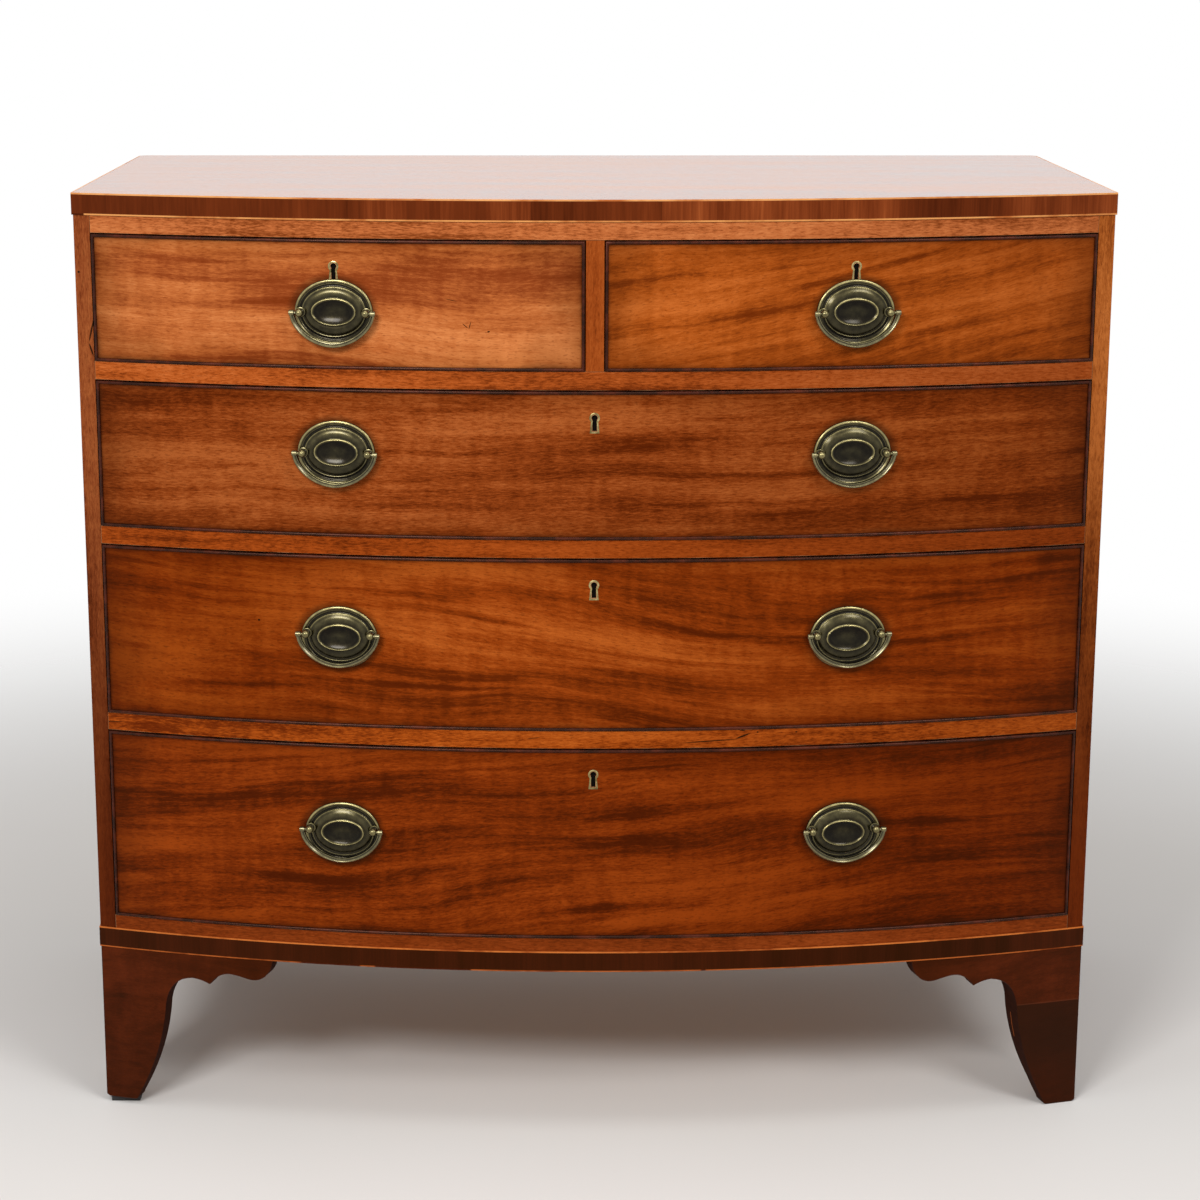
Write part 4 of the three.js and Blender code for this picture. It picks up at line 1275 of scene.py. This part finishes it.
def ring_mesh(rings, closed=False):
    """A skin over rings with as many points each, capped at both ends or joined end to start."""
    count = len(rings[0])
    points = [point for ring in rings for point in ring]
    faces = []
    for ring in range(len(rings) if closed else len(rings) - 1):
        near, far = ring * count, (ring + 1) % len(rings) * count
        for corner in range(count):
            follow = (corner + 1) % count
            faces.append((near + corner, near + follow, far + follow, far + corner))
    if not closed:
        last = len(points) - count
        faces += [tuple(range(count))[::-1], tuple(range(last, last + count))]
    return points, faces


def bead_mesh(low, high):
    """The section carried round the drawer's front, with mitred corners."""
    line = [x for x, _ in bow_line(low.x, high.x, FACE_INSET)]
    rings = []
    for x, z, inward in [(x, high.z, -1) for x in line] + [(x, low.z, 1) for x in line[::-1]]:
        ring = []
        for across, inset in bead_section():
            shift = across if x == low.x else -across if x == high.x else 0.0
            ring.append((x + shift, bow_y(x + shift, inset), z + inward * across))
        rings.append(ring)
    return ring_mesh(rings, closed=True)


BEAD_TINT = (1.0, 0.5, 0.36, 1.0)
bead_finish, bead_wear = speckled("bead_mahogany", (40.0, 40.0, 40.0), 5.0, detail=4.0, rough=0.7)
bead_share = bead_finish.fade(bead_wear, 0.38, 0.72)
bead_wood = bead_finish.surface(
    Base_Color=bead_finish.mix(bead_share, tint(22, 7, 4), tint(76, 30, 17)),
    Roughness=bead_wear * 0.2 + 0.18,
    Specular_IOR_Level=0.3,
    Specular_Tint=BEAD_TINT,
)
for name, look in DRAWERS.items():
    bead = ease(make_piece(f"{name}_cock_bead", *bead_mesh(look["low"], look["high"]), bead_wood), 0)
    settle(bead, look["body"], "cock_bead", f"{name}_bead")


# Keyhole linings
# A thread of cast brass pressed into each keyhole, its edge flush with the veneer and rubbed
# bright by the key.
def brass_finish(name, dark, light, roughness, worn_where=None, lacquer=0.4):
    """Old brass: dark patina in the hollows, yellow where hands and polish reach, under the thin
    lacquer of two centuries of wax."""
    finish, blotch = speckled(name, (140.0, 140.0, 140.0), 6.0, detail=4.0, rough=0.6)
    share = finish.fade(blotch, 0.3, 0.75)
    if worn_where:
        # The share of bare metal comes from an attribute of the mesh, blotched a little
        worn = finish.node("Attribute", {"attribute_name": worn_where}).out("Fac")
        share = worn * (share * 0.45 + 0.5) + share * 0.02
    scratch = finish.noise(finish.spot(), (900.0, 900.0, 900.0), 3.0, detail=3.0)
    return finish.surface(
        Base_Color=finish.mix(share, dark, light),
        Metallic=1.0,
        Roughness=scratch * 0.1 + blotch * 0.1 + (roughness - 0.1),
        Normal=finish.relief(blotch, FINE_DEPTH),
        Coat_Weight=lacquer,
        Coat_Roughness=0.17,
        Coat_IOR=1.36,
    )


key_brass = brass_finish("key_brass", tint(96, 84, 44), tint(192, 176, 120), 0.3)
# Dark brass for the keyhole's inner wall, as painted shade
keyhole_wall_shade = brass_finish("keyhole_wall_shade", tint(18, 13, 6), tint(52, 42, 22), 0.6)
LINING_LENGTH = 4 * MM
LINING_CROWN = 0.35 * MM
outer_line = keyhole_line(**ESCUTCHEON_OUTER)
inner_line = keyhole_line(**ESCUTCHEON_INNER)
middle_line = []
for (outer_x, outer_z), (inner_x, inner_z) in zip(outer_line, inner_line):
    middle_line.append(((outer_x + inner_x) / 2, (outer_z + inner_z) / 2))
lining_rings = [
    [(x, LINING_LENGTH, z) for x, z in outer_line],
    [(x, -LINING_CROWN / 3, z) for x, z in outer_line],
    [(x, -LINING_CROWN, z) for x, z in middle_line],
    [(x, -LINING_CROWN / 3, z) for x, z in inner_line],
    [(x, LINING_LENGTH, z) for x, z in inner_line],
]
lining_points, lining_faces = ring_mesh(lining_rings, closed=True)
# The inner wall, which is the fourth of the five bands of faces, is painted dark as painted shade in
# the hole
lining_looks = [int(face // len(outer_line) == 3) for face in range(len(lining_faces))]
for name, look in DRAWERS.items():
    points = [look["key_place"] @ Vector(point) for point in lining_points]
    lining = make_piece(
        f"{name}_keyhole_lining", points, lining_faces, key_brass, keyhole_wall_shade, looks=lining_looks,
    )
    settle(ease(lining, 0), look["body"], "lock_brass")


# Locks
# An iron and brass till lock let into the back of each front, its plate held by four screws. Its
# inner parts close the keyhole, a little way in, painted near black as painted shade.
LOCK_PLATE = {"half_width": 32 * MM, "height": 48 * MM, "screw_margin": 5.5 * MM}
WORKS_DEPTH = (3.0 * MM, 3.8 * MM)
lock_brass = brass_finish("lock_brass", tint(96, 84, 50), tint(150, 134, 86), 0.45)
# Near black, as painted shade inside the keyhole
works_finish, works_speck = speckled("lock_works_shade", (600.0, 600.0, 600.0), 4.0)
works_shade = works_finish.surface(
    Base_Color=works_finish.mix(works_speck, tint(6, 4, 3), tint(20, 14, 10)),
    Roughness=0.8,
    Specular_IOR_Level=0.05,
)
LOCK_SCREW = {
    "Radius": 3.0 * MM, "Rim": 2.4 * MM, "Height": 0.6 * MM, "Sides": 18,
    "Stem": (5.0 * MM, 0.7 * MM, 0.1 * MM), "Head": iron, "StemFinish": works_shade,
}
FRONT_THICKNESS = 22 * MM
plate_top = KEYHOLE_DROP + BEAD_WIDTH
margin = LOCK_PLATE["screw_margin"]
screw_x = LOCK_PLATE["half_width"] - margin
screw_heights = (plate_top - margin, plate_top - LOCK_PLATE["height"] + margin)
corners = list(itertools.product((-screw_x, screw_x), screw_heights))
for name, look in DRAWERS.items():
    dress(f"{name}_lock", lock_brass)
    plug_mesh = key_prism(look, middle_line, WORKS_DEPTH)
    plug = ease(make_piece(f"{name}_lock_works_shade", *plug_mesh, works_shade), 0)
    settle(plug, look["body"], "lock_brass")
    behind = look["key_place"] @ Matrix.Translation((0, FRONT_THICKNESS, 0))
    out = behind.to_3x3() @ Vector((0, 1, 0))
    spots = [behind @ Vector((x, 0.0, z)) for x, z in corners]
    screws = heads.grow(
        f"{name}_lock_screws", spots, [out] * len(spots), Scatter=0.0, Seed=7, **LOCK_SCREW,
    )
    settle(screws, look["body"], "lock_brass")


# Drawer linings and bottoms
# Sides and back of thin oak, dovetailed to the front and to each other, with an oak bottom that
# slides in grooves from the back. Bare wood, browned by two centuries of air.
OAK_TONES = wood_tones(tint(138, 94, 56), tint(182, 134, 88), tint(208, 166, 118))
END_GRAIN_TONES = wood_tones(tint(68, 43, 23), tint(96, 65, 38), tint(124, 89, 55))
OAK_ROUGHNESS = 0.6
lining_oak = bare_wood(
    "lining_oak", "YZX", OAK_TONES, 23.0, OAK_ROUGHNESS, rings=90.0, dust=0.2, turning=True,
)
bottom_oak = bare_wood("bottom_oak", "XYZ", OAK_TONES, 27.0, OAK_ROUGHNESS, rings=110.0, dust=0.35)
end_grain = bare_wood("oak_end_grain", "XZY", END_GRAIN_TONES, 33.0)


def dovetail_pattern():
    """A row of wedges up each corner of a drawer: what shows outside of its dovetails."""
    pattern = Pattern(
        "dovetail_rows", Count="Int", Pitch="Float", Length="Float", Narrow="Float", Wide="Float",
        Thickness="Float", Wood="Material",
    )
    line = {"Count": pattern.size("Count"), "Offset": pattern.vector(Z=pattern.size("Pitch"))}
    row = pattern.node("GeometryNodeMeshLine", {}, line)
    rows = pattern.scatter(pattern.size("Points"), row)
    length, narrow = pattern.size("Length"), pattern.size("Narrow")
    bounds = pattern.vector(X=pattern.size("Thickness"), Y=length, Z=narrow)
    wedge = pattern.node("GeometryNodeMeshCube", {}, {"Size": bounds})
    spot = pattern.node("GeometryNodeInputPosition")
    place = pattern.node("ShaderNodeSeparateXYZ", {}, {"Vector": spot})
    spread = (pattern.size("Wide") / narrow - 1) * (0.5 - place.out("Y") / length)
    values = {"Geometry": wedge, "Offset": pattern.vector(Z=place.out("Z") * spread)}
    wedge = pattern.node("GeometryNodeSetPosition", {}, values)
    pattern.end(pattern.scatter(rows, wedge), "Wood")
    return pattern


dovetails = dovetail_pattern()
TAIL_PITCH = 38 * MM
WEDGE_SHOW = 0.3 * MM
LAPPED_LENGTH = 12 * MM
LINING_THICKNESS = 9 * MM
BOTTOM_NAIL = {
    "Radius": 2.6 * MM, "Rim": 1.8 * MM, "Height": 0.7 * MM, "Sides": 8,
    "Stem": (0.4 * MM, 0.4 * MM, 0.1 * MM), "Head": iron, "StemFinish": iron,
}
BOTTOM_NAIL_SCATTER = 1.5 * MM
# Where the nails stand along the back edge of the bottom, from its left end to its right
BOTTOM_NAIL_SHARES = (0.12, 0.5, 0.88)
for name, look in DRAWERS.items():
    dress(f"{name}_lining", lining_oak)
    dress(f"{name}_bottom", bottom_oak)
    low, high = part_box(f"{name}_lining")
    count = int((high.z - low.z) / TAIL_PITCH)
    pitch = (high.z - low.z) / count
    starts, ends = [], []
    for x in (low.x, high.x):
        rear_of_front = bow_y(x, FACE_INSET + FRONT_THICKNESS)
        starts.append((x, rear_of_front - LAPPED_LENGTH / 2, low.z + pitch / 2))
        ends.append((x, high.y - LINING_THICKNESS / 2, low.z + pitch))
    tails = dovetails.grow(
        f"{name}_front_dovetails", starts, Count=count, Pitch=pitch, Length=LAPPED_LENGTH,
        Narrow=0.55 * pitch, Wide=0.8 * pitch, Thickness=WEDGE_SHOW, Wood=lining_oak,
    )
    settle(tails, look["body"], "oak_lining")
    pins = dovetails.grow(
        f"{name}_rear_dovetails", ends, Count=count - 1, Pitch=pitch, Length=LINING_THICKNESS,
        Narrow=0.12 * pitch, Wide=0.3 * pitch, Thickness=WEDGE_SHOW, Wood=end_grain,
    )
    settle(pins, look["body"], "oak_lining")
    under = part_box(f"{name}_bottom")[0].z
    nail_y = high.y - LINING_THICKNESS / 2
    spots = [(low.x + (high.x - low.x) * share, nail_y, under) for share in BOTTOM_NAIL_SHARES]
    bottom_nails = heads.grow(
        f"{name}_bottom_nails", spots, [(0.0, 0.0, -1.0)] * len(spots),
        Scatter=BOTTOM_NAIL_SCATTER, Seed=5, **BOTTOM_NAIL,
    )
    settle(bottom_nails, look["body"], "oak_lining")


# Handles
# Oval plates stamped from sheet brass, each with a rim, a swelling and a raised oval round a
# dished middle. Two cast posts go through the plate and the front, and are held by nuts inside.
PLATE_HALF_WIDTH = 39.5 * MM
PLATE_HALF_HEIGHT = 32.5 * MM
PLATE_SIDES = 96
PROFILE_STEPS = 3
# Shares of the plate's half width and half height, height in millimetres, and wear from 0 to 1
PLATE_PROFILE = [
    (1.0, 1.0, 0.0, 0.2),
    (1.0, 1.0, 0.8, 0.2),
    (0.992, 0.99, 1.5, 0.4),
    (0.976, 0.971, 2.0, 0.8),
    (0.96, 0.95, 2.15, 1.0),
    (0.945, 0.93, 1.9, 0.6),
    (0.925, 0.905, 1.35, 0.1),
    (0.907, 0.88, 1.0, 0.05),
    (0.897, 0.868, 1.05, 0.3),
    (0.887, 0.855, 0.75, 0.05),
    (0.868, 0.83, 0.5, 0.0),
    (0.848, 0.803, 0.6, 0.0),
    (0.832, 0.783, 0.95, 0.05),
    (0.822, 0.77, 1.5, 0.3),
    (0.81, 0.756, 1.75, 0.6),
    (0.797, 0.74, 1.6, 0.25),
    (0.775, 0.713, 2.05, 0.08),
    (0.74, 0.67, 2.75, 0.12),
    (0.705, 0.62, 3.35, 0.15),
    (0.665, 0.565, 3.65, 0.13),
    (0.63, 0.51, 3.6, 0.08),
    (0.6, 0.463, 3.3, 0.04),
    (0.585, 0.44, 3.25, 0.1),
    (0.574, 0.425, 3.8, 0.5),
    (0.562, 0.409, 4.25, 1.0),
    (0.548, 0.392, 4.25, 1.0),
    (0.535, 0.376, 3.8, 0.3),
    (0.5, 0.342, 3.1, 0.0),
    (0.43, 0.285, 2.3, 0.0),
    (0.34, 0.22, 1.55, 0.0),
    (0.23, 0.148, 0.95, 0.03),
    (0.12, 0.077, 0.65, 0.05),
    (0.04, 0.026, 0.55, 0.05),
]


def smooth_value(a, b, c, d, share):
    """A value between b and c, on a smooth line through all four."""
    bend = 2 * a - 5 * b + 4 * c - d
    twist = 3 * b - a - 3 * c + d
    return 0.5 * (2 * b + (c - a) * share + bend * share ** 2 + twist * share ** 3)


def smooth_rows(rows, steps):
    """Rows between the given ones, on a smooth line through them."""
    made = []
    padded = [rows[0], *rows, rows[-1]]
    for number in range(len(rows) - 1):
        columns = list(zip(*padded[number:number + 4]))
        for step in range(steps):
            made.append(tuple(smooth_value(*column, step / steps) for column in columns))
    return [*made, rows[-1]]


def turns_round(sides):
    """The angles of so many points round a circle."""
    return [2 * math.pi * side / sides for side in range(sides)]


def plate_mesh():
    """The plate's corners and faces, and the wear at each corner, with painted light above and
    painted shade below.
    """
    rows = PLATE_PROFILE[:1] + smooth_rows(PLATE_PROFILE[1:], PROFILE_STEPS)
    rings, wear = [], []
    for across, up, height, worn in rows:
        ring = []
        for turn in turns_round(PLATE_SIDES):
            x = PLATE_HALF_WIDTH * across * math.cos(turn)
            z = PLATE_HALF_HEIGHT * up * math.sin(turn)
            ring.append((x, -height * MM, z))
            # Painted light and shade: the wear is raised above and lowered below, as light falls from
            # above
            wear.append(worn * (0.85 + 0.35 * math.sin(turn)))
        rings.append(ring)
    return (*ring_mesh(rings), wear)


POST_SPACING = 66.8 * MM
POST_STANDOFF = 9 * MM
# Radius and height of the post's turned outline, in millimetres, and its wear
POST_PROFILE = [
    (5.2, 0.8, 0.0),
    (5.2, 2.4, 0.15),
    (4.9, 3.0, 0.4),
    (4.2, 3.3, 0.2),
    (3.4, 3.4, 0.0),
    (2.6, 4.0, 0.0),
    (2.3, 5.0, 0.0),
    (2.5, 6.0, 0.0),
]
BALL_RADIUS = 4.2 * MM
BALL_STEPS = 10
BALL_WEAR = 0.55
BALL_TIP_WEAR = 0.3
POST_SIDES = 24


def post_mesh(centre_x):
    """A post's corners and faces, and the wear at each corner. It ends in a ball."""
    rows = [(radius * MM, height * MM, worn) for radius, height, worn in POST_PROFILE]
    start = math.asin(rows[-1][0] / BALL_RADIUS) - math.pi / 2
    for step in range(1, BALL_STEPS):
        turn = start + (math.pi / 2 - start) * step / BALL_STEPS
        height = POST_STANDOFF + BALL_RADIUS * math.sin(turn)
        rows.append((BALL_RADIUS * math.cos(turn), height, BALL_WEAR))
    rings, wear = [], []
    for radius, height, worn in rows:
        rings.append([
            (centre_x + radius * math.cos(turn), -height, radius * math.sin(turn))
            for turn in turns_round(POST_SIDES)
        ])
        wear += [worn] * POST_SIDES
    points, faces = ring_mesh(rings)
    # A fan of faces round the ball's tip takes the place of the last cap
    last_ring = faces.pop()
    tip = len(points)
    points.append((centre_x, -(POST_STANDOFF + BALL_RADIUS), 0.0))
    wear.append(BALL_TIP_WEAR)
    faces += [(last_ring[side - 1], last_ring[side], tip) for side in range(POST_SIDES)]
    return points, faces, wear


BAR_HALF = 2.5 * MM
BAR_DEPTH = 2.3 * MM
BAIL_HALF_WIDTH = 43.5 * MM - BAR_HALF
BAIL_DROP = 34.5 * MM - BAR_HALF
BAIL_RISE = 2.8 * MM
BAIL_SQUEEZE = 1.11
BAIL_STEPS = 56
# Across the bar from its inner edge to its outer, how far forward, and wear
BAIL_SECTION = [
    (-1.0, -0.5, 0.0),
    (-1.0, 0.1, 0.1),
    (-0.86, 0.42, 0.5),
    (-0.6, 0.5, 0.5),
    (-0.42, 0.38, 0.1),
    (-0.24, 0.5, 0.15),
    (0.0, 0.82, 0.35),
    (0.3, 1.0, 0.6),
    (0.62, 0.94, 0.6),
    (0.88, 0.62, 1.0),
    (1.0, 0.1, 0.6),
    (1.0, -0.5, 0.2),
    (0.6, -0.9, 0.0),
    (-0.6, -0.9, 0.0),
]
PIN_SIDES = 16
PIN_WEAR = 0.6
# Along each pin from the edge of the ball outwards, and its radius, in millimetres. It starts
# inside the ball and swells to a knuckle in the bar.
PIN_PROFILE = [
    (-3.0, 1.2),
    (-2.6, 1.5),
    (0.7, 1.5),
    (0.8, 2.5),
    (1.2, 2.9),
    (5.7, 2.9),
    (6.1, 2.5),
    (6.2, 1.9),
]


def bail_mesh():
    """The bar, moulded along its length and bent to half an oval, with a pin at each end, and
    the wear at each corner."""
    places = [(Vector((-BAIL_HALF_WIDTH, 0, BAIL_RISE)), Vector((-1, 0, 0)))]
    for step in range(BAIL_STEPS + 1):
        turn = math.pi * step / BAIL_STEPS
        across = math.copysign(abs(math.cos(turn)) ** BAIL_SQUEEZE, -math.cos(turn))
        centre = Vector((across * BAIL_HALF_WIDTH, 0, -math.sin(turn) ** BAIL_SQUEEZE * BAIL_DROP))
        out = Vector((-math.cos(turn) * BAIL_DROP, 0, -math.sin(turn) * BAIL_HALF_WIDTH)).normalized()
        places.append((centre, out))
    places.append((Vector((BAIL_HALF_WIDTH, 0, BAIL_RISE)), Vector((1, 0, 0))))
    rings, wear = [], []
    for centre, out in places:
        ring = []
        for across, forward, worn in BAIL_SECTION:
            point = centre + out * across * BAR_HALF + Vector((0, -forward * BAR_DEPTH, 0))
            ring.append(tuple(point))
            wear.append(worn)
        rings.append(ring)
    parts = [ring_mesh(rings)]
    ball_edge = POST_SPACING / 2 + BALL_RADIUS
    for side in (-1, 1):
        rings = []
        for reach, radius in PIN_PROFILE:
            x = side * (ball_edge + reach * MM)
            out = radius * MM
            turns = turns_round(PIN_SIDES)
            rings.append([(x, out * math.cos(turn), out * math.sin(turn)) for turn in turns])
        parts.append(ring_mesh(rings))
        wear += [PIN_WEAR] * (len(rings) * PIN_SIDES)
    return (*joined(parts), wear)


def wear_attribute(piece, values):
    """Keeps the wear on the mesh, where the brass reads it. On a plate it holds painted light and
    shade too.
    """
    layer = piece.data.attributes.new("wear", "FLOAT", "POINT")
    layer.data.foreach_set("value", values)


# Each handle adds where its nuts go, and which way they face
nut_places = {f"drawer_{name}": [] for name in DRAWERS}
plate_tints = (tint(16, 11, 3), tint(178, 165, 112))
bail_tints = (tint(24, 18, 7), tint(160, 149, 103))
plate_brass = brass_finish("plate_brass", *plate_tints, 0.29, worn_where="wear")
bail_brass = brass_finish("bail_brass", *bail_tints, 0.3, worn_where="wear", lacquer=0.85)
plate_points, plate_faces, plate_wear_and_light = plate_mesh()
post_parts = [post_mesh(side * POST_SPACING / 2) for side in (-1, 1)]
bail_points, bail_faces, bail_wear = bail_mesh()
for joint in HINGES:
    bail_body = joint["child"]
    handle = bail_body.replace("_bail", "_handle")
    pivot = Vector(joint["pos_m"])
    # The joint's axis points to the left, half a turn from the handle's own
    turn = math.atan2(joint["axis"][1], joint["axis"][0]) - math.pi
    at_pivot = Matrix.Translation(pivot) @ Matrix.Rotation(turn, 4, "Z")
    at_posts = at_pivot @ Matrix.Translation((0, POST_STANDOFF, 0))
    at_oval = at_posts @ Matrix.Translation((0, 0, -OVAL_DROPS[handle.split("_")[0]]))
    parts = [([at_oval @ Vector(point) for point in plate_points], plate_faces)]
    for points, faces, _ in post_parts:
        parts.append(([at_posts @ Vector(point) for point in points], faces))
    plate = make_piece(f"{handle}_oval_plate", *joined(parts), plate_brass)
    wear_attribute(plate, plate_wear_and_light + [worn for *_, wear in post_parts for worn in wear])
    ease(plate, 0)
    settle(plate, joint["parent"], "aged_brass", f"{handle}_plate")
    for side in (-1, 1):
        x, _, z = at_posts @ Vector((side * POST_SPACING / 2, 0, 0))
        inside = on_front(x, FACE_INSET + FRONT_THICKNESS, z)
        nut_place = (inside.to_translation(), inside.to_3x3() @ Vector((0, 1, 0)))
        nut_places[joint["parent"]].append(nut_place)
    bail_places = [at_pivot @ Vector(point) for point in bail_points]
    bail = make_piece(f"{handle}_hanging_bail", bail_places, bail_faces, bail_brass)
    wear_attribute(bail, bail_wear)
    ease(bail, 0)
    settle(bail, bail_body, "aged_brass", f"{handle}_bail")


# Post nuts
# Square brass nuts on the threaded ends of the handles' posts, inside each drawer.
nut_brass = brass_finish("nut_brass", tint(70, 60, 32), tint(140, 124, 78), 0.45)
POST_NUT = {
    "Radius": 7.0 * MM, "Rim": 6.4 * MM, "Height": 3.0 * MM, "Sides": 4,
    "Stem": (2.8 * MM, 2.8 * MM, 5.0 * MM), "Head": nut_brass, "StemFinish": nut_brass,
}
for body, places in nut_places.items():
    nuts = heads.grow(f"{body}_post_nuts", *zip(*places), Scatter=0.0, Seed=11, **POST_NUT)
    settle(nuts, body, "aged_brass")


# Studio
# A round pale floor that fades into white, soft lamps above the front to the left and right, and
# one over the top. What isn't the floor is white to the eye, and half as bright as a light.
FLOOR_RADIUS = 2.6
FLOOR_FADE_FROM = 0.9
FLOOR_FADE_TO = 2.5
FLOOR_SIDES = 64
floor_finish, floor_speck = speckled("pale_floor", (2.0, 2.0, 2.0), 1.0)
floor_place = {0: floor_finish.spot()}
floor_reach = floor_finish.node("VectorMath", {"operation": "LENGTH"}, floor_place).out("Value")
floor_colour = floor_finish.mix(floor_speck, tint(226, 223, 219), tint(232, 229, 226))
floor_look = floor_finish.node("BsdfDiffuse", {}, {"Color": floor_colour})
floor_gone = floor_finish.node("BsdfTransparent")
floor_share = floor_finish.fade(floor_reach, FLOOR_FADE_FROM, FLOOR_FADE_TO)
floor_mix = floor_finish.node("MixShader", {}, {0: floor_share, 1: floor_look, 2: floor_gone})
floor_finish.node("OutputMaterial", {}, {"Surface": floor_mix})
floor_points = [
    (FLOOR_RADIUS * math.cos(turn), FLOOR_RADIUS * math.sin(turn), 0.0)
    for turn in turns_round(FLOOR_SIDES)
]
floor = make_piece("studio_floor", floor_points, [tuple(range(FLOOR_SIDES))], floor_finish.owner)

AIR_STRENGTH = 0.42
air = Finish(bpy.data.worlds.new("studio_air"))
path = air.node("LightPath")
seen = path.out("Is Camera Ray")
for ray in ("Is Glossy Ray", "Is Transmission Ray"):
    seen = seen.math("MAXIMUM", path.out(ray))
level = seen * (1 - AIR_STRENGTH) + AIR_STRENGTH
glow = air.node("Background", {}, {"Color": (1.0, 1.0, 1.0, 1.0), "Strength": level})
air.node("OutputWorld", {}, {"Surface": glow})
bpy.context.scene.world = air.owner


CHEST_MIDDLE = Vector((0.0, 0.0, 0.55))
LAMPS = {
    "key_lamp": {"place": (-1.3, -3.1, 2.5), "size": (1.2, 0.7), "watts": 75},
    "fill_lamp": {"place": (1.9, -2.7, 3.0), "size": (1.2, 0.9), "watts": 46},
    "top_lamp": {"place": (0.0, -0.4, 3.2), "size": (1.6, 1.2), "watts": 20},
}
for name, lamp in LAMPS.items():
    light = bpy.data.lights.new(name, "AREA")
    light.shape = "RECTANGLE"
    light.size, light.size_y = lamp["size"]
    light.energy = lamp["watts"]
    holder = bpy.data.objects.new(name, light)
    bpy.context.scene.collection.objects.link(holder)
    holder.location = lamp["place"]
    aim = CHEST_MIDDLE - Vector(lamp["place"])
    holder.rotation_euler = aim.to_track_quat("-Z", "Y").to_euler()


# Camera
# Where the photograph was taken from: a long lens three metres off and a little higher than the
# top, looking down at the chest. Its focal length and the middle of its view are in the
# photograph's pixels.
FRAME_PIXELS = 1200
FOCAL_PIXELS = 2794
MIDDLE_PIXELS = (547.4, 598.7)
EYE_PLACE = (-0.045, -3.024, 1.226)
DOWNWARD_DEGREES = 13.32
LEFTWARD_DEGREES = 0.04
camera = bpy.data.cameras.new("photo_camera")
camera.sensor_width = 36
camera.lens = camera.sensor_width * FOCAL_PIXELS / FRAME_PIXELS
camera.shift_x = 0.5 - MIDDLE_PIXELS[0] / FRAME_PIXELS
camera.shift_y = MIDDLE_PIXELS[1] / FRAME_PIXELS - 0.5
eye = bpy.data.objects.new("photo_camera", camera)
bpy.context.scene.collection.objects.link(eye)
eye.location = EYE_PLACE
eye.rotation_euler = (math.radians(90 - DOWNWARD_DEGREES), 0.0, math.radians(LEFTWARD_DEGREES))
bpy.context.scene.camera = eye
bpy.context.scene.view_settings.view_transform = "Standard"
